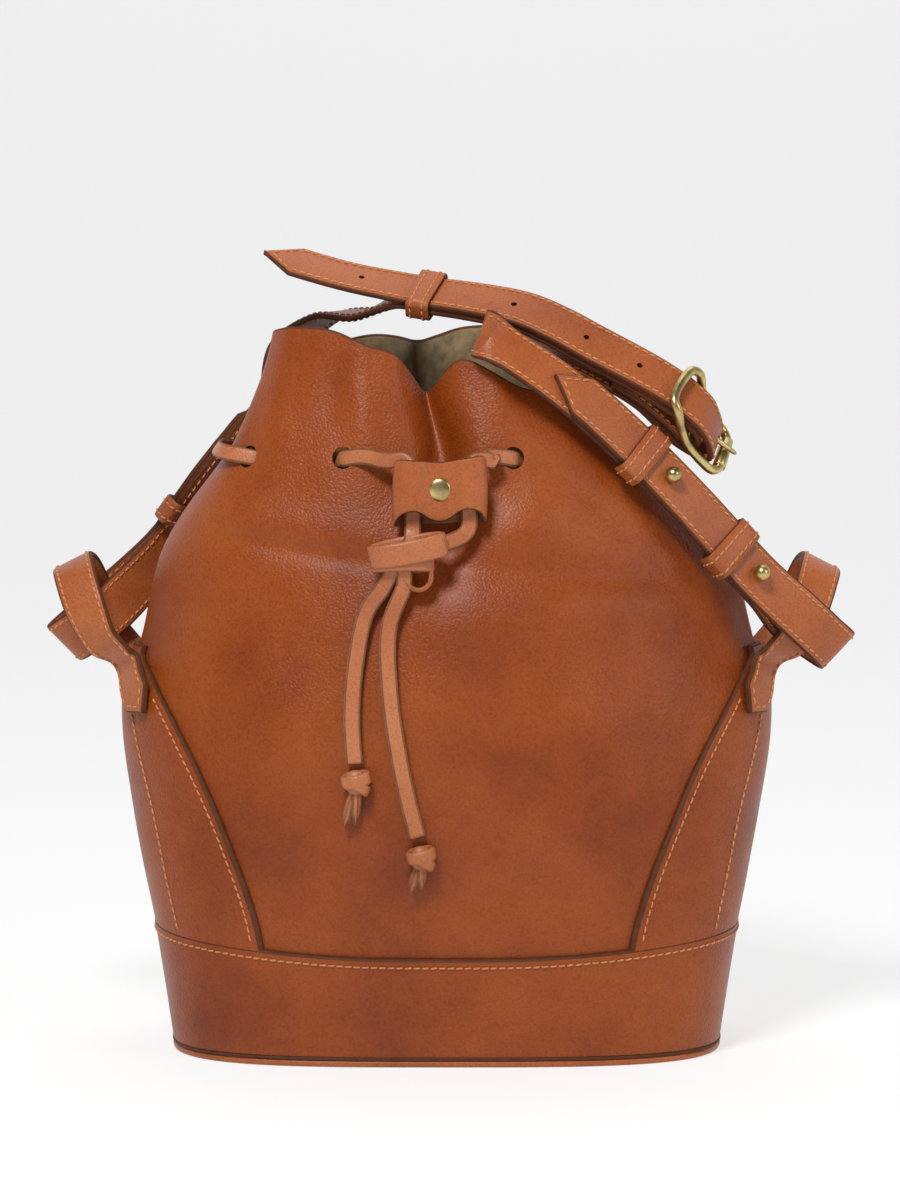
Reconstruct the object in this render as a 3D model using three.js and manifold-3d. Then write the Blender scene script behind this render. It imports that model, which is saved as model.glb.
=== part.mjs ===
// Leather bucket bag: a gathered drawstring bag with a stiff base, side loops and an adjustable shoulder strap.
// Millimetres, +Z up, +X to the bag's right as seen from the front, and the front faces -Y.
// The origin is the middle of the base's underside.
import * as THREE from "three";
import { mergeVertices } from "three/addons/utils/BufferGeometryUtils.js";
import Module from "manifold-3d";

const wasm = await Module();
wasm.setup();

// ---- driving dimensions ----
const GAP = 0.9; // clearance kept between curved sheets that lie on each other
const FIT = 0.4; // clearance kept between straps, keepers and hardware
const LEATHER = 2.0; // body panels
const OVERLAY = 2.2; // gussets and base band, which lie over the panels
const BASE_Z = 3.0; // thickness of the bottom panel
const RIM_Z = 304; // height of the tallest lobe of the mouth
const LACE_Z = 251; // height of the drawstring holes
const LACE_WIDTH = 5.8;
const LACE_THICK = 1.9;
const HOLE_R = 5; // drawstring holes
const STRAP_WIDTH = 21;
const STRAP_THICK = 2.6;
const LAYER = STRAP_THICK + 0.6; // pitch of two strap layers that lie on each other
const KEEPER_WALL = 1.8;
const KEEPER_LENGTH = 11;

const HIDE = { color: 0xa4501f, roughness: 0.5, metalness: 0 };
const SUEDE_EDGE = { color: 0x7a4a26, roughness: 0.85, metalness: 0 };
const BRASS = { color: 0xa8925a, roughness: 0.35, metalness: 1 };

const bag = new THREE.Group();
const V = (x, y, z) => new THREE.Vector3(x, y, z);
const rad = THREE.MathUtils.degToRad;
const smooth = (a, b, t) => THREE.MathUtils.smoothstep(t, a, b);

function add(name, geometry, look) {
  const mesh = new THREE.Mesh(geometry, new THREE.MeshStandardMaterial(look));
  mesh.name = name;
  bag.add(mesh);
  return mesh;
}

// A box whose corners run from 0 to 1, with each vertex moved to place(u, v, w).
function mapped(nu, nv, nw, place) {
  const box = new THREE.BoxGeometry(1, 1, 1, nu, nv, nw);
  const at = box.getAttribute("position");
  for (let i = 0; i < at.count; i++) {
    const p = place(at.getX(i) + 0.5, at.getY(i) + 0.5, at.getZ(i) + 0.5);
    at.setXYZ(i, p.x, p.y, p.z);
  }
  return box;
}

// ---- booleans ----
function solid(geometry) {
  const bare = geometry.index ? geometry.toNonIndexed() : geometry.clone();
  bare.deleteAttribute("normal");
  bare.deleteAttribute("uv");
  const merged = mergeVertices(bare, 1e-3);
  return new wasm.Manifold(
    new wasm.Mesh({
      numProp: 3,
      vertProperties: merged.getAttribute("position").array,
      triVerts: new Uint32Array(merged.index.array),
    }),
  );
}

function cut(geometry, tools) {
  let left = solid(geometry);
  for (const tool of tools) left = left.subtract(solid(tool));
  const mesh = left.getMesh();
  return new THREE.BufferGeometry()
    .setAttribute("position", new THREE.BufferAttribute(Float32Array.from(mesh.vertProperties), 3))
    .setIndex(new THREE.BufferAttribute(mesh.triVerts, 1));
}

// ---- smooth values along a list of knots ----
// A curve through knots of numbers, so a radius or a height can change smoothly with t.
function through(ts, values) {
  const slope = ts.map((_, i) => {
    const a = Math.max(0, i - 1);
    const b = Math.min(ts.length - 1, i + 1);
    return (values[b] - values[a]) / (ts[b] - ts[a]);
  });
  return (t) => {
    if (t <= ts[0]) return values[0];
    if (t >= ts.at(-1)) return values.at(-1);
    const i = ts.findLastIndex((x) => x <= t);
    const h = ts[i + 1] - ts[i];
    const s = (t - ts[i]) / h;
    const rise = values[i + 1] - values[i];
    return (
      values[i] + rise * s * s * (3 - 2 * s) + h * (slope[i] * s * (1 - s) ** 2 - slope[i + 1] * s * s * (1 - s))
    );
  };
}

// ---- the bag's skin: the outer face of the body panels ----
const heights = [0, 50, 100, 145, 178, 210, 250, 283, 305];
const halfWidth = through(heights, [113, 121, 131, 136, 129, 120, 97, 76, 68]);
const halfDepth = through(heights, [68, 73, 79, 80, 76, 69, 60, 53, 50]);
const squareness = through(heights, [3.4, 3.0, 2.3, 1.9, 1.8, 1.9, 2, 2, 2]);
const lean = through(heights, [0, 0, 0, 0, 0, -1, -5, -11, -12]); // the gathered mouth sits a little to the left

// Angle phi runs from the front (0) over the right side (90 degrees).
const turn = (phi) => Math.atan2(Math.sin(phi), Math.cos(phi));
const bump = (phi, centre, spread) => Math.exp(-((turn(phi - centre) / spread) ** 2));

// How far the gathered leather folds in at the front, the sides and the back.
function fold(phi, z) {
  const pleat = smooth(205, 300, z);
  const hollow = smooth(190, 250, z);
  return (
    hollow * (7 * bump(phi, 0, 0.5) + 5 * bump(phi, Math.PI, 0.5)) +
    pleat * (24 * bump(phi, 0.06, 0.15) + 16 * bump(phi, Math.PI, 0.2)) +
    pleat * (18 * bump(phi, Math.PI / 2, 0.22) + 18 * bump(phi, -Math.PI / 2, 0.22))
  );
}

function skin(phi, z) {
  const n = squareness(z);
  const across = Math.abs(Math.sin(phi)) / halfWidth(z);
  const along = Math.abs(Math.cos(phi)) / halfDepth(z);
  const r = (across ** n + along ** n) ** (-1 / n) - fold(phi, z);
  return V(lean(z) + r * Math.sin(phi), -r * Math.cos(phi), z);
}

function skinNormal(phi, z) {
  const e = 0.004;
  const round = skin(phi + e, z).sub(skin(phi - e, z));
  const up = skin(phi, z + 0.5).sub(skin(phi, z - 0.5));
  return round.cross(up).normalize();
}

// The point d millimetres outside the skin.
const off = (phi, z, d) => skin(phi, z).addScaledVector(skinNormal(phi, z), d);

// The rim is low in the four folds, and the front right lobe is pressed down by the strap.
function rim(phi) {
  const rightLobe = bump(phi, 0.92, 0.55);
  return (
    RIM_Z -
    24 * bump(phi, 0.06, 0.22) -
    9 * bump(phi, Math.PI / 2, 0.35) -
    5 * bump(phi, -Math.PI / 2, 0.3) -
    6 * bump(phi, Math.PI, 0.3) -
    27 * rightLobe -
    8 * bump(phi, rad(230), 0.5)
  );
}

// A sheet of leather that lies between d0 and d1 outside the skin.
function sheet(nu, nv, phi0, phi1, z0, z1, d0, d1) {
  return mapped(nu, nv, 1, (u, v, w) => {
    const phi = phi0(v) + (phi1(v) - phi0(v)) * u;
    const z = z0(phi) + (z1(phi) - z0(phi)) * v;
    const p = off(phi, z, d0 + (d1 - d0) * w);
    return V(p.x, p.y, v === 0 || v === 1 ? z : p.z);
  });
}

// ---- drawstring holes ----
const holeAngles = [-35, 31, 66, 114, 148, 212, 246, 294].map(rad);
const holeTools = holeAngles.map((phi) => {
  const tool = new THREE.CylinderGeometry(HOLE_R, HOLE_R, 26, 16);
  const inward = skinNormal(phi, LACE_Z);
  inward.z = 0;
  const spin = new THREE.Quaternion().setFromUnitVectors(V(0, 1, 0), inward.normalize());
  const p = skin(phi, LACE_Z);
  return tool.applyQuaternion(spin).translate(p.x, p.y, p.z);
});

// ---- body panels, base and gussets ----
const SIDE = rad(90);
const SEAM = rad(0.25);
const bottom = () => BASE_Z + GAP;
const panel = (from, to) =>
  cut(
    sheet(28, 13, () => from + SEAM, () => to - SEAM, bottom, rim, -LEATHER, 0),
    holeTools,
  );
add("front_panel", panel(-SIDE, SIDE), HIDE);
add("back_panel", panel(SIDE, 3 * SIDE), HIDE);

// The base band's top edge rises towards the sides.
const bandTop = (phi) => 46 + 9 * Math.sin(phi) ** 4;
add(
  "base_band",
  sheet(64, 2, () => SEAM - Math.PI, () => Math.PI - SEAM, bottom, bandTop, GAP, GAP + OVERLAY),
  HIDE,
);

function outline(d, n) {
  const points = [];
  for (let i = 0; i < n; i++) {
    const p = off((i / n) * 2 * Math.PI, 2, d);
    points.push(new THREE.Vector2(p.x, p.y));
  }
  return new THREE.Shape(points);
}
const plate = (d, z0, thick) =>
  new THREE.ExtrudeGeometry(outline(d, 64), { depth: thick, bevelEnabled: false }).translate(0, 0, z0);
add("base_panel", plate(GAP + OVERLAY, 0, BASE_Z), HIDE);
add("base_board", plate(-LEATHER - 1.2, BASE_Z + GAP, 2), SUEDE_EDGE);

const GUSSET_TOP = 166;
const gussetEdge = (v) => rad(41.6) - rad(29.6) * v ** 1.6 - rad(4.5) * v ** 8; // half of the gusset's angle, from bottom to top
for (const [name, middle] of [["gusset_right", SIDE], ["gusset_left", -SIDE]]) {
  const top = () => GUSSET_TOP;
  const low = (phi) => bandTop(phi) + GAP;
  add(
    name,
    sheet(12, 9, (v) => middle - gussetEdge(v), (v) => middle + gussetEdge(v), low, top, GAP, GAP + OVERLAY),
    HIDE,
  );
}

// ---- straps ----
// A curve of places, each with a point and the direction that the strap's face looks in there.
class Spine {
  constructor(places) {
    this.line = new THREE.CatmullRomCurve3(places.map((q) => q[0]), false, "centripetal");
    this.faces = new THREE.CatmullRomCurve3(places.map((q) => q[1].normalize()), false, "centripetal");
    this.last = places.length - 1;
  }
  // i counts places and may fall between two of them; h is a distance along the face direction
  at(i, h = 0) {
    const t = i / this.last;
    const along = this.line.getTangent(t);
    const out = this.faces.getPoint(t);
    out.addScaledVector(along, -out.dot(along)).normalize();
    return { p: this.line.getPoint(t).addScaledVector(out, h), along, out, side: V().crossVectors(out, along) };
  }
  place(i, h = 0, flip = 1) {
    const f = this.at(i, h);
    return [f.p, f.out.multiplyScalar(flip)];
  }
}

// A flat band along the spine; half(u) is half its width, where u runs from 0 to 1 along it.
function band(spine, steps, thick, half, lift = 0) {
  return mapped(steps, 1, 1, (u, v, w) => {
    const f = spine.at(u * spine.last, (w - 0.5) * thick + lift);
    return f.p.addScaledVector(f.side, (2 * v - 1) * half(u));
  });
}
const tapered = (half, length0, length1) => (u) =>
  half * Math.min(1, 0.12 + u / length0, 0.12 + (1 - u) / length1);

// ---- side loops: an arch of doubled leather that leans outwards over each gusset ----
const LOOP_WIDTH = 18;
const LOOP_THICK = 3;
const LOOP_OFF = 2 * GAP + OVERLAY + LOOP_THICK / 2;
const onGusset = (degrees, z, more = 0) => [
  off(rad(degrees), z, LOOP_OFF + more),
  skinNormal(rad(degrees), z),
];
const frontLeg = [
  onGusset(75, 143),
  onGusset(79.5, 153),
  onGusset(82.5, 162, 1.5),
  [V(145, -24, 172.5), V(0.6, -0.79, 0.05)],
  [V(151.6, -26, 186.5), V(0.33, -0.92, 0.2)],
  [V(157, -15.6, 200.4), V(0.35, -0.6, 0.7)],
];
const mirrorY = ([p, n]) => [V(p.x, -p.y, p.z), V(n.x, -n.y, n.z)];
const arch = new Spine([...frontLeg, [V(159, 0, 204), V(0.45, 0, 0.89)], ...frontLeg.map(mirrorY).reverse()]);
const loopRight = band(arch, 30, LOOP_THICK, tapered(LOOP_WIDTH / 2, 0.05, 0.05));
add("side_loop_right", loopRight, HIDE);
add("side_loop_left", loopRight.clone().rotateZ(Math.PI), HIDE);

// ---- shoulder strap ----
// Right end: the strap comes down over the front right shoulder, wraps the loop's front leg and returns.
const shoulder = new Spine([
  [V(24, -53, 298), V(0.25, -0.75, 0.6)],
  [V(46, -52, 283), V(0.25, -0.8, 0.55)],
  [V(64, -49, 268), V(0.28, -0.82, 0.5)],
  [V(81, -46, 252), V(0.3, -0.84, 0.45)],
  [V(101, -43, 231.5), V(0.3, -0.86, 0.4)],
  [V(121, -39.5, 209.5), V(0.25, -0.88, 0.35)],
  [V(132, -36, 198), V(0.25, -0.9, 0.3)],
]);
const wrapTop = [
  shoulder.place(6, LAYER / 2),
  [V(150, -33, 182.5), V(0.15, -0.95, 0.2)],
  [V(159.5, -27, 173.5), V(0.45, -0.85, -0.1)],
];
const wrapTurn = [V(164.5, -19.5, 168.5), V(0.72, 0, -0.69)];
const wrapBelow = [
  [V(158.5, -12, 172), V(0.35, 0.85, -0.3)],
  [V(146.5, -13, 180.5), V(0.05, 0.97, -0.1)],
  shoulder.place(6, -0.6 * LAYER, -1),
];

// Upper run: the two halves lie on each other between the buckle and the free end.
const upper = new Spine([
  [V(-78, 6, 333), V(0.2, -0.55, 0.8)],
  [V(-43, -1, 323), V(0.2, -0.55, 0.8)],
  [V(-9, -8, 316.5), V(0.12, -0.6, 0.79)],
  [V(32, -23, 309.5), V(0.2, -0.7, 0.7)],
  [V(60, -31, 296), V(0.35, -0.75, 0.55)],
  [V(86, -34, 281), V(0.5, -0.72, 0.48)],
  [V(104, -30, 264), V(0.72, -0.6, 0.35)],
  [V(117, -23, 250), V(0.82, -0.5, 0.3)],
]);
const BAR_I = 6; // where the buckle's centre bar crosses the upper run
const BAR_R = 1.6;

const RIDE = STRAP_THICK / 2 + BAR_R + 0.9; // height of the layer that is folded round the centre bar
const OVER = RIDE + LAYER; // height of the tail where it passes over that layer
const tailSide = new Spine([
  ...[0.9, 1.5, 2, 3, 4, 5].map((i) => shoulder.place(i, LAYER / 2)),
  ...wrapTop,
  wrapTurn,
  ...wrapBelow,
  ...[5, 4, 3, 2, 1, 0.2].map((i) => shoulder.place(i, -LAYER / 2, -1)),
  [V(14.5, -49, 302.5), V(0.9, 0.1, -0.3)],
  [V(28, -41.3, 295.2), V(0.15, -0.8, 0.5)],
  upper.place(3.4, -3.3 * LAYER),
  upper.place(3.85, -2.5 * LAYER),
  ...[4.2, 5, BAR_I].map((i) => upper.place(i, -OVER)),
  [upper.at(6.6).p, upper.at(6.6).along.negate()],
  upper.place(BAR_I, OVER, -1),
  upper.place(5.55, OVER, -1),
  upper.place(5, 1.4 * LAYER, -1),
  ...[4, 3.5, 3, 2.5, 2, 1.5, 1, 0].map((i) => upper.place(i, LAYER, -1)),
]);
const strapHalf = STRAP_WIDTH / 2;

// The buckle half: folded round the centre bar, under the tail, down over the back left shoulder to the left loop.
const halfTurn = ([p, n]) => [V(-p.x, -p.y, p.z), V(-n.x, -n.y, n.z)];
const onBack = (degrees, z, d) => [off(rad(degrees), z, d), skinNormal(rad(degrees), z)];
const leftShoulder = new Spine([
  onBack(238, 268, 8.5),
  onBack(246, 250, 10),
  onBack(253, 234, 9),
  halfTurn(shoulder.place(5)),
]);
const down = (q) => [q[0], q[1].negate()];
const leftRun = [0, 0.5, 1, 1.5, 2, 2.5, 3];
const buckleSide = new Spine([
  ...[4.4, 5, 5.7, BAR_I].map((i) => upper.place(i, -RIDE, -1)),
  [upper.at(BAR_I + RIDE / 20.5).p, upper.at(BAR_I).along],
  upper.place(BAR_I, RIDE),
  upper.place(5.65, RIDE),
  upper.place(5, LAYER / 4),
  ...[4, 3.5, 3, 2.5, 2, 1.75].map((i) => upper.place(i, 0)),
  [V(-34, 8, 310), V(-0.1, -0.2, 0.97)],
  [V(-51, 25, 308.5), V(-0.3, 0.25, 0.9)],
  onBack(236, 292, 8.5),
  ...leftRun.map((i) => leftShoulder.place(i, -LAYER / 2)),
  ...wrapBelow.slice(0, 2).map(halfTurn).map(down).reverse(),
  down(halfTurn([wrapTurn[0], wrapTurn[1].clone()])),
  ...wrapTop.slice(1).map(halfTurn).map(down).reverse(),
  ...leftRun.map((i) => leftShoulder.place(i, LAYER / 2, -1)).reverse(),
]);

// A rod through the strap layers at a spine place.
const rod = (f, radius, length) =>
  new THREE.CylinderGeometry(radius, radius, length, 12)
    .applyQuaternion(new THREE.Quaternion().setFromUnitVectors(V(0, 1, 0), f.out))
    .translate(f.p.x, f.p.y, f.p.z);
const studHoles = [rod(shoulder.at(3.5), 2.2, 12), rod(shoulder.at(5.65), 2.2, 12)];
const POST_R = 1.7;

// The buckle's own directions at its centre bar: s runs along the strap, y across it and h away from the bag.
const inBuckle = (s, y, h) => {
  const f = upper.at(BAR_I + s / 20.5, h);
  return f.p.addScaledVector(f.side, y);
};
const bar = upper.at(BAR_I);
function aligned(geometry, origin, x, y, z) {
  return geometry.applyMatrix4(new THREE.Matrix4().makeBasis(x, y, z).setPosition(origin));
}
const PRONG_R = 1.15;
const ROLLER_S = 18.5;
const prongAim = inBuckle(ROLLER_S, 0, 4.4).sub(bar.p).normalize();
const prongHole = new THREE.CylinderGeometry(PRONG_R + 0.75, PRONG_R + 0.75, 22, 10)
  .applyQuaternion(new THREE.Quaternion().setFromUnitVectors(V(0, 1, 0), prongAim))
  .translate(...bar.p.clone().addScaledVector(prongAim, 17).toArray());
const prongSlot = aligned(new THREE.BoxGeometry(12, 5, 12), bar.p.clone(), bar.along, bar.side, bar.out);

// Adjusting holes in the tail.
const punched = [1.2, 2, 2.9, 3.9, 4.7].map((i) => rod(upper.at(i, LAYER), 1.1, 5));

const tailBand = band(tailSide, 118, STRAP_THICK, tapered(strapHalf, 0.02, 0.02));
add("strap_tail_side", cut(tailBand, [...studHoles, prongHole, ...punched]), HIDE);
const buckleBand = band(buckleSide, 84, STRAP_THICK, tapered(strapHalf, 0.03, 0.03));
const leftHoles = [rod(leftShoulder.at(0.75), 2.2, 12)];
add("strap_buckle_side", cut(buckleBand, [...leftHoles, prongSlot]), HIDE);

// ---- keepers and studs ----
function keeper(name, spine, i, low, high) {
  const reach = KEEPER_LENGTH / spine.at(i + 0.25).p.distanceTo(spine.at(i - 0.25).p) / 2;
  const sleeve = (extra, stretch) =>
    mapped(3, 1, 1, (u, v, w) => {
      const f = spine.at(i + (u - 0.5) * reach * stretch, low - extra + (high - low + 2 * extra) * w);
      return f.p.addScaledVector(f.side, (2 * v - 1) * (strapHalf + extra));
    });
  add(name, cut(sleeve(0.75 + KEEPER_WALL, 1), [sleeve(0.75, 1.3)]), HIDE);
}
const pair = LAYER / 2 + STRAP_THICK / 2;
keeper("keeper_right_upper", shoulder, 3, -pair, pair);
keeper("keeper_right_lower", shoulder, 4.85, -pair, pair);
keeper("keeper_tail", upper, 2, -STRAP_THICK / 2, LAYER + STRAP_THICK / 2);
keeper("keeper_left", leftShoulder, 2.55, -pair, pair);

// Screw studs: a disc under both layers, a post through them and a ball on top.
function stud(name, f) {
  const profile = [
    [0, -pair - 1.4],
    [4.2, -pair - 1.4],
    [4.2, -pair - FIT],
    [POST_R, -pair - FIT],
    [POST_R, pair + 0.5],
    [2.1, pair + 1],
    [1.7, pair + 2],
    [3, pair + 3],
    [3.5, pair + 4.6],
    [2.6, pair + 6.6],
    [0, pair + 7.4],
  ].map((q) => new THREE.Vector2(...q));
  const body = new THREE.LatheGeometry(profile, 10);
  add(name, aligned(body, f.p, f.side, f.out, f.along), BRASS);
}
stud("stud_right_upper", shoulder.at(3.5));
stud("stud_right_lower", shoulder.at(5.65));
stud("stud_left", leftShoulder.at(0.75));

// ---- buckle ----
const TUBE = 1.7;
const W = strapHalf + 0.55 + TUBE;
const rail = [
  [-14, -W + 3, 10.6],
  [-14, W - 3, 10.6],
  [-11, W, 9.6],
  [-5, W, 3.4],
  [0, W, 0],
  [9, W, -1.2],
  [16, W - 0.6, -0.8],
  [ROLLER_S, W - 4, 0],
  [ROLLER_S, 0, 0],
  [ROLLER_S, -W + 4, 0],
  [16, -W + 0.6, -0.8],
  [9, -W, -1.2],
  [0, -W, 0],
  [-5, -W, 3.4],
  [-11, -W, 9.6],
].map((q) => inBuckle(...q));
const hoop = new THREE.TubeGeometry(new THREE.CatmullRomCurve3(rail, true, "centripetal"), 46, TUBE, 7, true);
const crossbar = new THREE.CylinderGeometry(BAR_R, BAR_R, 2 * W, 10);
const union = (parts) => {
  const mesh = parts.map(solid).reduce((a, b) => a.add(b)).getMesh();
  return new THREE.BufferGeometry()
    .setAttribute("position", new THREE.BufferAttribute(Float32Array.from(mesh.vertProperties), 3))
    .setIndex(new THREE.BufferAttribute(mesh.triVerts, 1));
};
const barWay = (geometry) => aligned(geometry, bar.p, bar.along, bar.side, bar.out);
add("buckle_frame", union([hoop, barWay(crossbar)]), BRASS);

const shaft = new THREE.CylinderGeometry(PRONG_R, PRONG_R, 19.5, 10)
  .applyQuaternion(new THREE.Quaternion().setFromUnitVectors(V(0, 1, 0), prongAim))
  .translate(...bar.p.clone().addScaledVector(prongAim, 12.2).toArray());
const eyelet = cut(barWay(new THREE.CylinderGeometry(3.1, 3.1, 3, 14)), [
  barWay(new THREE.CylinderGeometry(BAR_R + 0.3, BAR_R + 0.3, 5, 14)),
]);
add("buckle_prong", union([eyelet, shaft]), BRASS);

const end = upper.at(BAR_I + ROLLER_S / 20.5);
const rollerWay = (geometry) => aligned(geometry, end.p, end.along, end.side, end.out);
const rollerLength = 2 * (W - 4.5);
add(
  "buckle_roller",
  cut(rollerWay(new THREE.CylinderGeometry(2.8, 2.8, rollerLength, 16)), [
    rollerWay(new THREE.CylinderGeometry(TUBE + 0.35, TUBE + 0.35, rollerLength + 2, 16)),
  ]),
  BRASS,
);

// ---- drawstring ----
// The point of the front skin at x and z, d millimetres out.
function onFront(x, z, d) {
  let a = rad(-80);
  let b = rad(80);
  for (let i = 0; i < 30; i++) {
    const m = (a + b) / 2;
    if (skin(m, z).x < x) a = m;
    else b = m;
  }
  return V(x, skin(a, z).y - d, z);
}

const SLIDER = { x: -2.7, y: -70.5, low: 225, high: 249.5 };
const CHANNEL_X = 11.4; // from the rivet to the middle of each channel
const sliderShape = new THREE.Shape();
const pinch = [
  [-19, 0],
  [-17.3, -4.6],
  [-12.5, -6.4],
  [-7.8, -5.7],
  [-5.3, -3],
  [5.3, -3],
  [7.8, -5.7],
  [12.5, -6.4],
  [17.3, -4.6],
  [19, 0],
];
const facing = [...pinch, ...pinch.slice(1, -1).reverse().map(([x, y]) => [x, -y])];
sliderShape.setFromPoints(facing.map((q) => new THREE.Vector2(...q)));
for (const side of [-1, 1])
  sliderShape.holes.push(new THREE.Path().absellipse(side * CHANNEL_X, 0, 5.4, 3.8, 0, 2 * Math.PI, true));
const sleeveBody = new THREE.ExtrudeGeometry(sliderShape, {
  depth: SLIDER.high - SLIDER.low,
  bevelEnabled: false,
  curveSegments: 6,
}).translate(SLIDER.x, SLIDER.y, SLIDER.low);
const RIVET_Z = 239;
const rivetHole = new THREE.CylinderGeometry(1.6, 1.6, 16, 12).translate(SLIDER.x, SLIDER.y, RIVET_Z);
add("slider", cut(sleeveBody, [rivetHole]), HIDE);
const lathe = (profile, n) =>
  new THREE.LatheGeometry(profile.map((q) => new THREE.Vector2(...q)), n);
const cap = [
  [0, -3.1],
  [1.3, -3.1],
  [1.3, 3.2],
  [4.7, 3.2],
  [4.3, 4.4],
  [2.4, 5.2],
  [0, 5.4],
];
const back = [
  [0, -4.6],
  [3.2, -4.6],
  [3.9, -3.9],
  [3.9, -3.25],
  [0, -3.25],
];
for (const [name, profile] of [["slider_rivet_cap", cap], ["slider_rivet_back", back]])
  add(name, lathe(profile, 18).rotateX(Math.PI).translate(SLIDER.x, SLIDER.y, RIVET_Z), BRASS);

// The lace runs outside each inward fold, inside each lobe, and out of the slider's two channels.
const laceAt = (phi, d) => [off(phi, LACE_Z, d), skinNormal(phi, LACE_Z)];
const pass = (phi, way) => [
  laceAt(phi - way * rad(7), 4),
  laceAt(phi, -0.9),
  laceAt(phi + way * rad(5), -6.5),
];
const AHEAD = V(0, -1, 0);
const drop = (side) => [
  [V(SLIDER.x + side * 21, SLIDER.y + 5, 252.5), AHEAD.clone()],
  [V(SLIDER.x + side * 14.5, SLIDER.y + 1, 254), AHEAD.clone()],
  [V(SLIDER.x + side * 11.4, SLIDER.y, 249.5), AHEAD.clone()],
  [V(SLIDER.x + side * 11.3, SLIDER.y, 236), AHEAD.clone()],
  [V(SLIDER.x + side * 11.2, SLIDER.y - 0.3, 222), AHEAD.clone()],
  [V(SLIDER.x + side * 8 - 3, SLIDER.y - 4, 218), AHEAD.clone()],
];
const [h0, h1, h2, h3, h4, h5, h6, h7] = holeAngles;
const lace = new Spine([
  ...drop(1).reverse(),
  ...pass(h1, 1),
  ...pass(h2, -1).reverse(),
  laceAt(rad(90), 5),
  ...pass(h3, 1),
  ...pass(h4, -1).reverse(),
  laceAt(Math.PI, 5),
  ...pass(h5, 1),
  ...pass(h6, -1).reverse(),
  laceAt(rad(270), 5),
  ...pass(h7, 1),
  ...pass(h0 + 2 * Math.PI, -1).reverse(),
  ...drop(-1),
]);
const full = (half) => () => half;
add("drawstring_neck", band(lace, 150, LACE_THICK, full(LACE_WIDTH / 2)), HIDE);

const ball = (x, y, z, a, b, c, spin = 0) =>
  new THREE.SphereGeometry(1, 16, 10).scale(a, b, c).rotateY(spin).translate(x, y, z);
const KNOT = V(-13.5, -77.5, 208.5);
add(
  "drawstring_knot",
  union([ball(KNOT.x, KNOT.y, KNOT.z + 1, 15, 6, 7.2, 0.2), ball(KNOT.x - 2, KNOT.y + 0.5, KNOT.z, 6.5, 5.5, 8.6)]),
  HIDE,
);

// Two tails hang from the knot and end in small knots of their own.
const TAIL_HALF = 3.4;
const hanging = (list) => new Spine(list.map(([x, z, d]) => [onFront(x, z, d), V(0, -1, 0.1)]));
const tails = {
  left: hanging([[-25.5, 199.5, 7.5], [-32.5, 189, 5], [-37, 168, 4], [-38.6, 146, 4], [-37.5, 127.5, 4.5]]),
  right: hanging([[-17.5, 199, 8], [-23.4, 183, 5], [-23, 156, 4], [-19.8, 133, 4], [-16, 114, 4], [-11.8, 97.6, 4.5]]),
};
const ends = { left: [-37, 120, -39.5, 101], right: [-10.4, 89, -12.5, 73.5] };
for (const side of ["left", "right"]) {
  add("drawstring_tail_" + side, band(tails[side], 26, 2.3, full(TAIL_HALF)), HIDE);
  const [x, z, tipX, tipZ] = ends[side];
  const knot = onFront(x, z, 5.6);
  const tip = new Spine([
    [V(knot.x, knot.y, z - 3), AHEAD.clone()],
    [V((x + tipX) / 2, onFront(x, z, 4.6).y, (z + tipZ) / 2), AHEAD.clone()],
    [V(tipX, onFront(tipX, tipZ, 4.4).y, tipZ), AHEAD.clone()],
  ]);
  add("tail_knot_" + side, union([ball(knot.x, knot.y, z, 6.4, 4.4, 6.6), band(tip, 8, 2.3, tapered(3.6, 0.1, 0.7))]), HIDE);
}

export default bag;
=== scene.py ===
import math
import random

import bpy
import numpy as np
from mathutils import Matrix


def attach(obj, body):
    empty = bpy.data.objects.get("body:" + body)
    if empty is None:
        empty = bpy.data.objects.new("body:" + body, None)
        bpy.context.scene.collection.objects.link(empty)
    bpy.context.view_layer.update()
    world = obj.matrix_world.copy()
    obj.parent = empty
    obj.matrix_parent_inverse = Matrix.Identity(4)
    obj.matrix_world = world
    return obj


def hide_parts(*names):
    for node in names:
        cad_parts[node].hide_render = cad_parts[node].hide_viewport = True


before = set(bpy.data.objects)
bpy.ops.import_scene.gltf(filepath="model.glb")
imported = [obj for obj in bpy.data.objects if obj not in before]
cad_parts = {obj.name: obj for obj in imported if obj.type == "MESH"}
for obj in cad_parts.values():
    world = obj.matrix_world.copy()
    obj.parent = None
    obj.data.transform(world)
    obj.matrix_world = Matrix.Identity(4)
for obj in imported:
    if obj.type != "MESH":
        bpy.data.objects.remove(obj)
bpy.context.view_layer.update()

# Lengths below are in millimetres in the CAD frame; meshes are written in metres.
MM = 0.001
rad = math.radians
pi = math.pi

# ---- camera and studio ----
TARGET = np.array([1.4, -75.0, 194.0])
REACH = 1700.0  # distance from the camera to the front of the bag
ELEVATION = rad(4.5)
FIELD = 489.6  # height of the picture at the bag's front

camera_data = bpy.data.cameras.new("camera")
camera_data.sensor_fit = "VERTICAL"
camera_data.sensor_height = 36
camera_data.lens = 36 * REACH / FIELD
camera = bpy.data.objects.new("camera", camera_data)
spot = TARGET + REACH * np.array([0, -math.cos(ELEVATION), math.sin(ELEVATION)])
camera.location = spot * MM
camera.rotation_euler = (pi / 2 - ELEVATION, 0, 0)
bpy.context.scene.collection.objects.link(camera)
bpy.context.scene.camera = camera


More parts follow.
